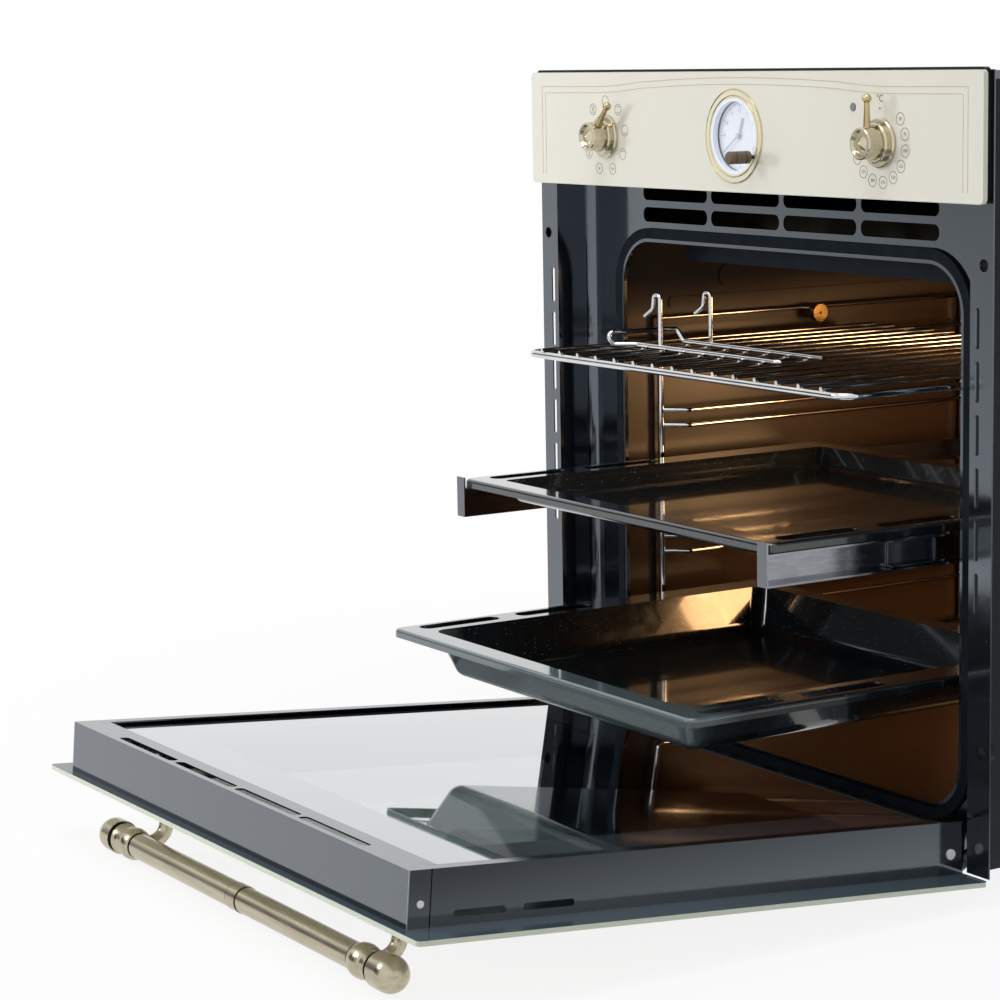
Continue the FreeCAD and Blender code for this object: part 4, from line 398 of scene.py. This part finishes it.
def dialFaceLook(tree):
    return principled(tree, {
        "Base Color": drift(grain(tree, dialFace["drift"]), dialFace["tone"], dialFace["white"]),
        "Roughness": polish(grain(tree, dialFace["polish"]), dialFace["roughness"]),
        "Emission Color": dialFace["glow"], "Emission Strength": 1.0,
    })


settingKnob = {
    "brown": shade(116, 96, 76), "dark": shade(92, 74, 57), "black": shade(20, 20, 20),
    "roughness": (0.26, 0.40), "turning": (40.0, 900.0, 40.0),
    "stem": -0.0150, "grooves": (-0.0290, -0.0200), "half": 0.0004,
}


def settingKnobLook(tree):
    y = place(tree).parts()[1]
    turned = grain(tree, 1.0, vector=stretched(tree, settingKnob["turning"]))
    brown = drift(turned, settingKnob["brown"], settingKnob["dark"], levels["narrow"])
    # the stem is black; the two grooves are painted black as painted shade in their hollows
    first, second = [abs(y - groove) < settingKnob["half"] for groove in settingKnob["grooves"]]
    dark = (y > settingKnob["stem"]).larger(first).larger(second)
    colour = dark.blend(brown, settingKnob["black"])
    return principled(tree, {"Base Color": colour, "Roughness": polish(turned, settingKnob["roughness"])})


lamp = {
    "glass": shade(250, 236, 208), "roughness": 0.2, "drift": 80.0,
    "glow": (1.0, 0.56, 0.24, 1.0), "pale": (1.0, 0.66, 0.34, 1.0), "strength": 4.0,
}


def lampLook(tree):
    return principled(tree, {
        "Base Color": lamp["glass"], "Roughness": lamp["roughness"],
        "Emission Color": drift(grain(tree, lamp["drift"]), lamp["glow"], lamp["pale"]),
        "Emission Strength": lamp["strength"],
    })


drawing = {"even": (1.0, 1.0, 1.0), "detail": 4.0, "polish": 3.0, "polishDetail": 3.0}


def metalLook(bright, dark, roughness, scale, stretch=drawing["even"], ends=None):
    # metal whose tone and polish wander, drawn out along the way it was worked, with painted shade on faces
    # that look to the front
    def recipe(tree):
        drawn = stretched(tree, stretch)
        colour = drift(grain(tree, scale, drawing["detail"], drawn), dark, bright)
        if ends:
            # painted shade: faces that look to the front take a darker tone
            facing = Wire.add(tree, "ShaderNodeNewGeometry", output="Normal").parts()[1]
            colour = facing.span(*ends["facing"]).blend(colour, ends["tone"])
        worked = grain(tree, scale * drawing["polish"], drawing["polishDetail"], drawn)
        return principled(tree, {
            "Base Color": colour, "Metallic": 1.0, "Roughness": polish(worked, roughness),
        })
    return recipe


moulding = {"polish": 4.0, "grain": 12.0, "strength": 0.3}


def plainLook(light, dark, roughness, scale, depth=0.0, gloss=0.5):
    # paint, plastic or rubber with a slow drift of tone and a fine grain
    def recipe(tree):
        inputs = {
            "Base Color": drift(grain(tree, scale), dark, light), "Specular IOR Level": gloss,
            "Roughness": polish(grain(tree, scale * moulding["polish"]), roughness),
        }
        if depth:
            inputs["Normal"] = bump(grain(tree, scale * moulding["grain"]), moulding["strength"], depth)
        return principled(tree, inputs)
    return recipe


# painted shade for the runners' front-facing ends: its tone and the facing over which it comes in
runnerEndShade = {"tone": shade(118, 120, 124), "facing": (-0.5, -0.8)}
metals = {  # bright and dark tone, roughness, scale of the noise, stretch, painted shade of the ends
    "antique": (shade(194, 186, 164), shade(174, 165, 141), (0.20, 0.28), 60.0, (0.25, 4.0, 4.0)),
    "brass": (shade(212, 204, 182), shade(198, 189, 165), (0.14, 0.19), 24.0),
    "lever": (shade(198, 180, 138), shade(174, 155, 112), (0.15, 0.22), 30.0),
    "plainBrass": (shade(224, 194, 126), shade(200, 166, 96), (0.14, 0.22), 60.0),
    "chrome": (shade(226, 226, 227), shade(208, 209, 210), (0.05, 0.10), 40.0),
    "steel": (shade(158, 161, 165), shade(140, 143, 148), (0.12, 0.20), 40.0, (1.0, 1.0, 6.0), runnerEndShade),
    "galvanised": (shade(176, 180, 184), shade(142, 147, 152), (0.28, 0.44), 45.0),
    "element": (shade(98, 94, 90), shade(66, 62, 58), (0.32, 0.48), 70.0),
}
plains = {  # light and dark tone, roughness, scale of the noise, depth of the grain, gloss
    "rubber": (shade(35, 40, 47), shade(30, 35, 41), (0.50, 0.64), 70.0, 0.0002, 0.0),
    "casing": (shade(27, 32, 38), shade(21, 26, 32), (0.50, 0.64), 60.0, 0.0001, 0.3),
    "deflector": (shade(38, 43, 51), shade(33, 38, 46), (0.34, 0.46), 60.0, 0.0001, 0.05),
    "blackPlastic": (shade(18, 18, 19), shade(12, 12, 13), (0.34, 0.50), 60.0, 0.0001, 0.3),
    "whitePlastic": (shade(250, 251, 253), shade(246, 248, 251), (0.30, 0.45), 50.0),
    "greyPlastic": (shade(134, 135, 137), shade(122, 123, 125), (0.28, 0.40), 80.0),
    "paleHand": (shade(222, 224, 228), shade(212, 214, 219), (0.30, 0.42), 80.0),
    "wool": (shade(64, 60, 50), shade(44, 41, 34), (0.85, 1.0), 40.0, 0.002, 0.1),
    "rivet": (shade(246, 247, 249), shade(236, 238, 241), (0.22, 0.32), 60.0),
    "goldPrint": (shade(199, 189, 158), shade(188, 177, 145), (0.30, 0.42), 90.0),
    "scalePrint": (shade(126, 114, 86), shade(114, 102, 75), (0.30, 0.42), 90.0),
    "greyPrint": (shade(196, 202, 214), shade(186, 192, 205), (0.35, 0.45), 90.0),
}
recipes = {
    "panelGlass": panelGlassLook, "outerGlass": outerGlassLook, "innerGlass": innerGlassLook,
    "clearGlass": clearGlassLook, "clockGlass": clockGlassLook, "clockPlate": clockPlateLook,
    "dialFace": dialFaceLook, "settingKnob": settingKnobLook, "darkEnamel": darkEnamelLook,
    "granite": graniteLook, "cavity": cavityLook, "lamp": lampLook,
}
recipes.update({name: metalLook(*values) for name, values in metals.items()})
recipes.update({name: plainLook(*values) for name, values in plains.items()})
looks = {name: makeLook(name, recipe) for name, recipe in recipes.items()}

finishes = {
    "panelGlass": ["panel_glass"],
    "outerGlass": ["door_outer_glass"],
    "innerGlass": ["door_inner_glass"],
    "clearGlass": ["door_middle_glass"],
    "clockGlass": ["clock_glass"],
    "clockPlate": ["clock_bezel"],
    "dialFace": ["clock_movement"],
    "settingKnob": ["clock_set_knob"],
    "paleHand": ["minute_hand", "hour_hand"],
    "darkEnamel": ["front_frame", "door_top_rail", "door_side_rails", "door_bottom_rail"],
    "granite": ["shallow_tray", "deep_tray"],
    "cavity": ["cavity", "fan_cover"],
    "deflector": ["grill_deflector"],
    "lamp": ["lamp_glass"],
    "antique": ["handle_bar", "handle_posts", "handle_caps"],
    "brass": ["function_knob", "thermostat_knob", "knob_bezels"],
    "lever": ["function_lever", "thermostat_lever"],
    "plainBrass": ["ladder_nuts"],
    "chrome": ["side_ladders", "wire_rack", "rack_stand"],
    "rivet": ["door_fasteners"],
    "steel": [
        "runner_fixed_rails", "runner_middle_rails", "runner_slide_rails", "hinge_arms", "hinge_housings",
        "hinge_receivers", "function_shaft", "thermostat_shaft", "convection_fan",
    ],
    "galvanised": [
        "base_panel", "rear_panel", "fan_motor", "blower_housing", "function_switch", "thermostat_body",
    ],
    "element": ["grill_element", "base_element", "ring_element"],
    "rubber": ["door_gasket", "handle_rings"],
    "casing": ["casing_wrap"],
    "blackPlastic": ["blower_impeller", "terminal_block", "screw_bushes", "panel_chassis"],
    "whitePlastic": ["lamp_holder"],
    "greyPlastic": ["indicator_lamp"],
    "wool": ["insulation"],
}
unfinished = set(nodes)
for lookName, members in finishes.items():
    for member in members:
        mesh = nodes[member].data
        mesh.materials.clear()
        mesh.materials.append(looks[lookName])
        unfinished.remove(member)
print("stage: materials, without one:", sorted(unfinished))


def joinRows(target, rows, closed=False):
    # faces between rows of as many points each, with the first and last row capped or joined
    count = len(rows[0])
    following = rows[1:] + rows[:1] if closed else rows[1:]
    for here, there in zip(rows, following):
        for step in range(count):
            turn = (step + 1) % count
            target.faces.new((here[step], here[turn], there[turn], there[step]))
    if not closed:
        target.faces.new(rows[0][::-1])
        target.faces.new(rows[-1])


def ribbon(target, points, halfWidth, front, back, closed=False):
    # a flat strip in the XZ plane between two depths, along a run of (x, z) points
    count = len(points)
    rows = []
    for index, (x, z) in enumerate(points):
        before = points[index - 1] if index or closed else points[0]
        after = points[(index + 1) % count] if index < count - 1 or closed else points[-1]
        run = Vector((after[0] - before[0], after[1] - before[1])).normalized()
        side = Vector((-run.y, run.x)) * halfWidth
        corners = [(x + side.x, front, z + side.y), (x - side.x, front, z - side.y),
                   (x - side.x, back, z - side.y), (x + side.x, back, z + side.y)]
        rows.append([target.verts.new(corner) for corner in corners])
    joinRows(target, rows, closed)


def letters(target, text, size, x, z, front, back):
    # upright plain lettering in the XZ plane, read from the front
    curve = bpy.data.curves.new("letters", "FONT")
    curve.body = text
    curve.size = size
    curve.align_x = "CENTER"
    curve.align_y = "CENTER"
    curve.extrude = (back - front) / 2
    holder = bpy.data.objects.new("letters", curve)
    scene.collection.objects.link(holder)
    bpy.context.view_layer.update()
    mesh = bpy.data.meshes.new_from_object(holder.evaluated_get(bpy.context.evaluated_depsgraph_get()))
    shift = Matrix.Translation((x, (front + back) / 2, z))
    mesh.transform(shift @ Matrix.Rotation(math.pi / 2, 4, "X"))
    target.from_mesh(mesh)
    bpy.data.objects.remove(holder)
    bpy.data.curves.remove(curve)
    bpy.data.meshes.remove(mesh)


def around(x, z, radius, degrees):
    # a point round a centre, clockwise from the top as seen from the front
    turn = math.radians(degrees)
    return x + radius * math.sin(turn), z + radius * math.cos(turn)


def circlePoints(x, z, radius, count=32):
    return [around(x, z, radius, 360 * step / count) for step in range(count)]


def quarterArc(x, y, radius, steps):
    # the round that cuts off a corner at (x, y)
    turns = [math.pi / 2 * step / steps for step in range(steps + 1)]
    return [(x - radius + radius * math.cos(turn), y - radius + radius * math.sin(turn)) for turn in turns]


def addPiece(name, target, look, body):
    bmesh.ops.recalc_face_normals(target, faces=target.faces)
    mesh = bpy.data.meshes.new(name)
    target.to_mesh(mesh)
    target.free()
    mesh.materials.append(looks[look])
    piece = bpy.data.objects.new(name, mesh)
    scene.collection.objects.link(piece)
    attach(piece, body)


# the two lines round the panel, arched over the clock
panelLines = {
    "halfWidth": 0.280, "level": 0.580, "floor": 0.5045, "gap": 0.0052, "steps": 96,
    "arch": 0.0070, "archStart": 0.200, "archEase": 3, "corner": 0.0008, "cornerSteps": 6,
    "ink": 0.00027, "front": -0.00930, "back": -0.00918,
}
front, back = panelLines["front"], panelLines["back"]


def lineHeight(x, level):
    share = max(0.0, 1.0 - abs(x) / panelLines["archStart"])
    ease = min(1.0, panelLines["archEase"] * share)
    return level + panelLines["arch"] * math.sin(share * math.pi / 2) * ease


panelPrint = bmesh.new()
for inset in (0.0, panelLines["gap"]):
    side = panelLines["halfWidth"] - inset
    level = panelLines["level"] - inset
    reach = side - panelLines["corner"]
    bend = quarterArc(side, level, panelLines["corner"], panelLines["cornerSteps"])
    along = [reach - reach * 2 * step / panelLines["steps"] for step in range(1, panelLines["steps"])]
    points = [(side, panelLines["floor"])] + bend
    points += [(x, lineHeight(x, level)) for x in along]
    points += [(-x, z) for x, z in reversed(bend)] + [(-side, panelLines["floor"])]
    ribbon(panelPrint, points, panelLines["ink"], front, back)
addPiece("panelPrint", panelPrint, "goldPrint", "oven")

# plain scales round the knobs: circles with numbers on the right, with simple heat signs on the left
knobScale = {
    "x": 0.182, "z": 0.5385, "radius": 0.0292, "ring": 0.0046, "ink": 0.00022, "size": 0.0034,
    "leftStep": 40.0, "rightFirst": 52.0, "rightStep": 24.3,
    "numbers": ["50", "75", "100", "125", "150", "175", "200", "225", "250", "275"],
    "signs": [[], ["top", "foot"], ["foot"], ["top"], ["wave"], ["cross"], ["cross", "foot"],
              ["cross", "top"], ["cross", "top", "foot"]],
    "reach": 0.52, "swing": 0.5, "waves": 1.5, "waveSteps": 12, "cross": 0.55,
}


def signStrokes(kind, x, z):
    reach = knobScale["ring"] * knobScale["reach"]
    if kind in ("top", "foot"):
        height = z + (reach if kind == "top" else -reach)
        return [[(x - reach, height), (x + reach, height)]]
    if kind == "wave":
        shares = [step / knobScale["waveSteps"] for step in range(knobScale["waveSteps"] + 1)]
        swing = reach * knobScale["swing"]
        turn = 2 * math.pi * knobScale["waves"]
        return [[(x - reach + 2 * reach * share, z + swing * math.sin(turn * share)) for share in shares]]
    small = reach * knobScale["cross"]
    return [[(x - small, z - side * small), (x + small, z + side * small)] for side in (1, -1)]


scalePrint = bmesh.new()
for index, kinds in enumerate(knobScale["signs"]):
    degrees = knobScale["leftStep"] * index
    x, z = around(-knobScale["x"], knobScale["z"], knobScale["radius"], degrees)
    ribbon(scalePrint, circlePoints(x, z, knobScale["ring"]), knobScale["ink"], front, back, True)
    for kind in kinds:
        for stroke in signStrokes(kind, x, z):
            ribbon(scalePrint, stroke, knobScale["ink"], front, back)
for index, number in enumerate(knobScale["numbers"]):
    degrees = knobScale["rightFirst"] + knobScale["rightStep"] * index
    x, z = around(knobScale["x"], knobScale["z"], knobScale["radius"], degrees)
    ribbon(scalePrint, circlePoints(x, z, knobScale["ring"]), knobScale["ink"], front, back, True)
    letters(scalePrint, number, knobScale["size"], x, z, front, back)
addPiece("scalePrint", scalePrint, "scalePrint", "oven")

# the unit over the right knob, with a dot below it
unitMark = {"x": 0.1815, "z": 0.5712, "size": 0.0075, "dot": 0.0009, "dotDrop": 0.0072, "dotSteps": 20}
unitPrint = bmesh.new()
letters(unitPrint, "°C", unitMark["size"], unitMark["x"], unitMark["z"], front, back)
halfDot = unitMark["dot"] / 2
dotPoints = circlePoints(unitMark["x"], unitMark["z"] - unitMark["dotDrop"], halfDot, unitMark["dotSteps"])
ribbon(unitPrint, dotPoints, halfDot, front, back, True)
addPiece("unitPrint", unitPrint, "scalePrint", "oven")

# the clock's minute marks and hours on the white dial, 6 and 30 degrees apart
dial = {
    "z": 0.541, "front": -0.00362, "back": -0.00348, "outer": 0.0258, "long": 0.0030, "short": 0.0016,
    "ink": 0.00020, "bold": 1.8, "numberRadius": 0.0200, "size": 0.0042,
}
dialPrint = bmesh.new()
for minute in range(60):
    isHour = minute % 5 == 0
    inner = dial["outer"] - (dial["long"] if isHour else dial["short"])
    ends = [around(0.0, dial["z"], radius, 6 * minute) for radius in (dial["outer"], inner)]
    ribbon(dialPrint, ends, dial["ink"] * (dial["bold"] if isHour else 1), dial["front"], dial["back"])
for hour in range(1, 13):
    spot = around(0.0, dial["z"], dial["numberRadius"], 30 * hour)
    letters(dialPrint, str(hour), dial["size"], *spot, dial["front"], dial["back"])
addPiece("dialPrint", dialPrint, "greyPrint", "oven")
print("stage: prints")

# the enamel that fills the recess's upright inner corners in a small round
recessCorner = {"x": 0.273, "y": 0.0375, "radius": 0.009, "steps": 12, "foot": 0.006, "top": 0.502}
section = quarterArc(recessCorner["x"], recessCorner["y"], recessCorner["radius"], recessCorner["steps"])
section.append((recessCorner["x"], recessCorner["y"]))
cornerFill = bmesh.new()
for side in (-1, 1):
    heights = (recessCorner["foot"], recessCorner["top"])
    joinRows(cornerFill, [[cornerFill.verts.new((side * x, y, z)) for x, y in section] for z in heights])
addPiece("cornerFill", cornerFill, "darkEnamel", "oven")
print("stage: recess corners")

# flanged screws on the casing; each ring has a radius, a height and whether it is six-sided
screw = {
    "rings": [(0.0048, 0.0, False), (0.0048, 0.0005, False), (0.0043, 0.0009, False),
              (0.0035, 0.0009, True), (0.0035, 0.0030, True), (0.0030, 0.0034, True)],
    "count": 24, "margin": 0.012, "frontMargin": 0.036, "topSpread": 1.3,
}


def nodeBox(name):
    spots = [vertex.co for vertex in nodes[name].data.vertices]
    return [[pick(spot[axis] for spot in spots) for axis in range(3)] for pick in (min, max)]


def hexScrew(target, spot, outward, size=1.0):
    # a hexagon head on a round flange, standing on a face
    turn = Vector(outward).to_track_quat("Z", "Y").to_matrix()
    flatAngle = math.pi / 3
    rows = []
    for radius, height, sided in screw["rings"]:
        row = []
        for step in range(screw["count"]):
            angle = 2 * math.pi * step / screw["count"]
            offMiddle = (angle + flatAngle / 2) % flatAngle - flatAngle / 2
            reach = size * radius / (math.cos(offMiddle) if sided else 1.0)
            local = Vector((reach * math.cos(angle), reach * math.sin(angle), size * height))
            row.append(target.verts.new(Vector(spot) + turn @ local))
        rows.append(row)
    joinRows(target, rows)


rearLow, rearHigh = nodeBox("rear_panel")
wrapLow, wrapHigh = nodeBox("casing_wrap")
margin = screw["margin"]
depths = (wrapLow[1] + screw["frontMargin"], wrapHigh[1] - margin)
casingScrews = bmesh.new()
for z in (rearLow[2] + margin, (rearLow[2] + rearHigh[2]) / 2, rearHigh[2] - margin):
    for x in (rearLow[0] + margin, rearHigh[0] - margin):
        hexScrew(casingScrews, (x, rearHigh[1], z), (0, 1, 0))
    for side in (-1, 1):
        for y in depths:
            hexScrew(casingScrews, (side * wrapHigh[0], y, z), (side, 0, 0))
for x in (wrapLow[0] / screw["topSpread"], 0.0, wrapHigh[0] / screw["topSpread"]):
    for y in depths:
        hexScrew(casingScrews, (x, y, wrapHigh[2]), (0, 0, 1))
addPiece("casingScrews", casingScrews, "steel", "oven")

# pressed louvres on the rear panel
hood = {
    "length": 0.076, "height": 0.010, "depth": 0.0045, "tip": 0.05, "squareness": 6, "steps": 24, "bends": 8,
    "rows": 6, "pitch": 0.020, "columns": (-0.13, 0.0, 0.13), "drop": 0.07,
}


def louvre(target, x, y, z):
    # a pressed hood, open-looking below: its section swells towards the lower edge
    shares = [bend / hood["bends"] for bend in range(hood["bends"] + 1)]
    rows = []
    for step in range(hood["steps"] + 1):
        along = 2 * step / hood["steps"] - 1
        swell = hood["depth"] * max(hood["tip"], math.sqrt(1 - abs(along) ** hood["squareness"]))
        across = x + along * hood["length"] / 2
        outline = [(y + swell * math.sin(s * math.pi / 2), z + hood["height"] * (0.5 - s)) for s in shares]
        outline.append((y, z - hood["height"] / 2))
        rows.append([target.verts.new((across, deep, high)) for deep, high in outline])
    joinRows(target, rows)


rearLouvres = bmesh.new()
for row in range(hood["rows"]):
    for x in hood["columns"]:
        louvre(rearLouvres, x, rearHigh[1], rearHigh[2] - hood["drop"] - row * hood["pitch"])
addPiece("rearLouvres", rearLouvres, "galvanised", "oven")

# the cord grip under the terminal block, a large flanged nut
grip = {"size": 2.2}
blockLow, blockHigh = nodeBox("terminal_block")
gripSpot = ((blockLow[0] + blockHigh[0]) / 2, (blockLow[1] + blockHigh[1]) / 2, blockLow[2])
cordGrip = bmesh.new()
hexScrew(cordGrip, gripSpot, (0, 0, -1), grip["size"])
addPiece("cordGrip", cordGrip, "blackPlastic", "oven")
print("stage: casing fittings")

# the pale floor, which fades into the white surroundings
floor = {
    "height": -0.0205, "half": 6.0, "colour": (0.92, 0.92, 0.92, 1.0), "matt": 0.9, "lift": 0.86,
    "near": 0.55, "far": 1.25, "centreY": 0.02, "dusk": (0.30, 0.55), "duskTone": 0.3,
}


def seenRays(tree):
    # rays that meet the surroundings as a background: from the camera, mirrored or through glass
    path = Wire.add(tree, "ShaderNodeLightPath").socket.node
    names = ("Is Camera Ray", "Is Glossy Ray", "Is Transmission Ray")
    direct, mirrored, through = [Wire(tree, path.outputs[name]) for name in names]
    return direct.larger(mirrored).larger(through), mirrored


def glow(tree, strength):
    return Wire.add(tree, "ShaderNodeEmission", {}, {"Color": white, "Strength": strength})


def floorLook(tree):
    seen, mirrored = seenRays(tree)
    x, y, _ = place(tree).parts()
    behind = y - floor["centreY"]
    away = (x * x + behind * behind) ** 0.5
    matt = {"Base Color": floor["colour"], "Roughness": floor["matt"], "Specular IOR Level": 0.0}
    fade = away.span(floor["near"], floor["far"], floor["lift"], 1.0)
    lit = mixShader(seen * fade, principled(tree, matt), glow(tree, 1.0))
    lit = mixShader(mirrored * x.span(*floor["dusk"]), lit, glow(tree, floor["duskTone"]))
    gone = Wire.add(tree, "ShaderNodeBsdfTransparent", {}, {"Color": white})
    return mixShader(away > floor["far"], lit, gone)


quarters = ((-1, -1), (1, -1), (1, 1), (-1, 1))
groundCorners = [(x * floor["half"], y * floor["half"], floor["height"]) for x, y in quarters]
groundMesh = bpy.data.meshes.new("floor")
groundMesh.from_pydata(groundCorners, [], [(0, 1, 2, 3)])
groundMesh.materials.append(makeLook("floor", floorLook))
ground = bpy.data.objects.new("floor", groundMesh)
scene.collection.objects.link(ground)

# white all round, but darker for mirrored rays behind on the right, in front on the left and low down
# there, so that metal and enamel have something to show
studio = {
    "ambient": 0.48, "white": 1.0,
    "slope": 0.8, "edge": (-0.04, 0.05), "end": (-0.1, 0.25), "dark": 0.7,
    "band": 0.05, "bandEdge": (0.05, 0.16),
    "frontX": (-0.2, -0.45), "frontY": (-0.3, -0.5), "frontZ": (0.0, 0.06), "frontTop": (0.46, 0.36),
    "frontDark": 0.93, "lowY": (-0.52, -0.66), "lowZ": (-0.2, 0.0), "lowDark": 0.6,
}
world = bpy.data.worlds.new("studio")
scene.world = world
world.use_nodes = True
tree = world.node_tree
tree.nodes.clear()
seen, mirrored = seenRays(tree)
x, y, z = Wire.add(tree, "ShaderNodeTexCoord", output="Generated").parts()
shadow = (y - studio["slope"] * x).span(*studio["edge"]) * x.span(*studio["end"])
shadow = shadow * abs(z + studio["band"]).span(*studio["bandEdge"]) * mirrored
left = x.span(*studio["frontX"]) * mirrored
ahead = left * y.span(*studio["frontY"]) * z.span(*studio["frontZ"]) * z.span(*studio["frontTop"])
low = left * y.span(*studio["lowY"]) * z.span(*studio["lowZ"])
tone = (1.0 - studio["dark"] * shadow) * (1.0 - studio["frontDark"] * ahead)
tone = tone * (1.0 - studio["lowDark"] * low)
strength = seen.span(0.0, 1.0, studio["ambient"], studio["white"]) * tone
sky = Wire.add(tree, "ShaderNodeBackground", {}, {"Color": white, "Strength": strength})
Wire.add(tree, "ShaderNodeOutputWorld", {}, {"Surface": sky})

# soft studio lamps; one that isn't mirrored leaves no hot spot on metal and enamel
studioLamps = {
    "keyLamp": {
        "spot": (-1.3, -2.6, 1.9), "aim": (0.0, 0.0, 0.35), "size": 1.2, "watts": 25.0, "mirrored": True,
    },
    "sideLamp": {
        "spot": (-2.3, -2.1, 0.80), "aim": (0.0, 0.0, 0.5), "size": 0.45, "watts": 21.0, "mirrored": False,
    },
    "topLamp": {
        "spot": (0.4, -0.6, 2.8), "aim": (0.0, -0.1, 0.2), "size": 1.8, "watts": 25.0, "mirrored": True,
    },
}
# the oven lamp's warm light, and what the walls throw back where the trays would shade it
ovenLamps = {
    "ovenLight0": {"spot": (0.17, 0.42, 0.32), "size": 0.07, "watts": 3.2, "mirrored": True},
    "ovenLight1": {"spot": (0.10, 0.36, 0.19), "size": 0.03, "watts": 1.6, "mirrored": False},
    "ovenLight2": {"spot": (0.08, 0.36, 0.062), "size": 0.03, "watts": 1.3, "mirrored": False},
    "ovenLight3": {"spot": (0.10, 0.14, 0.33), "size": 0.03, "watts": 0.8, "mirrored": False},
}


def hangLamp(name, kind, values):
    light = bpy.data.lights.new(name, kind)
    light.energy = values["watts"]
    holder = bpy.data.objects.new(name, light)
    holder.location = values["spot"]
    holder.visible_glossy = values["mirrored"]
    scene.collection.objects.link(holder)
    return holder


for name, values in studioLamps.items():
    holder = hangLamp(name, "AREA", values)
    holder.data.shape = "DISK"
    holder.data.size = values["size"]
    holder.rotation_mode = "QUATERNION"
    holder.rotation_quaternion = (Vector(values["aim"]) - Vector(values["spot"])).to_track_quat("-Z", "Y")
for name, values in ovenLamps.items():
    holder = hangLamp(name, "POINT", values)
    holder.data.shadow_soft_size = values["size"]
    holder.data.color = lamp["glow"][:3]

# the camera of the photograph
view = {
    "spot": (1.89335, -1.40789, 0.60935), "yaw": 1.0157, "pitch": 0.151, "roll": -0.018,
    "lens": 105.68, "sensor": 36.0,
}
upright = Matrix(((1, 0, 0), (0, 0, -1), (0, 1, 0)))
axes = Matrix.Rotation(view["roll"], 3, "Z") @ Matrix.Rotation(view["pitch"], 3, "X") @ upright
axes = axes @ Matrix.Rotation(-view["yaw"], 3, "Z")
camera = bpy.data.objects.new("camera", bpy.data.cameras.new("camera"))
camera.data.lens = view["lens"]
camera.data.sensor_width = view["sensor"]
facing = Matrix((axes[0], -axes[1], -axes[2])).transposed().to_4x4()
camera.matrix_world = Matrix.Translation(view["spot"]) @ facing
scene.collection.objects.link(camera)
scene.camera = camera
print("stage: floor, light and camera")

bpy.context.view_layer.update()
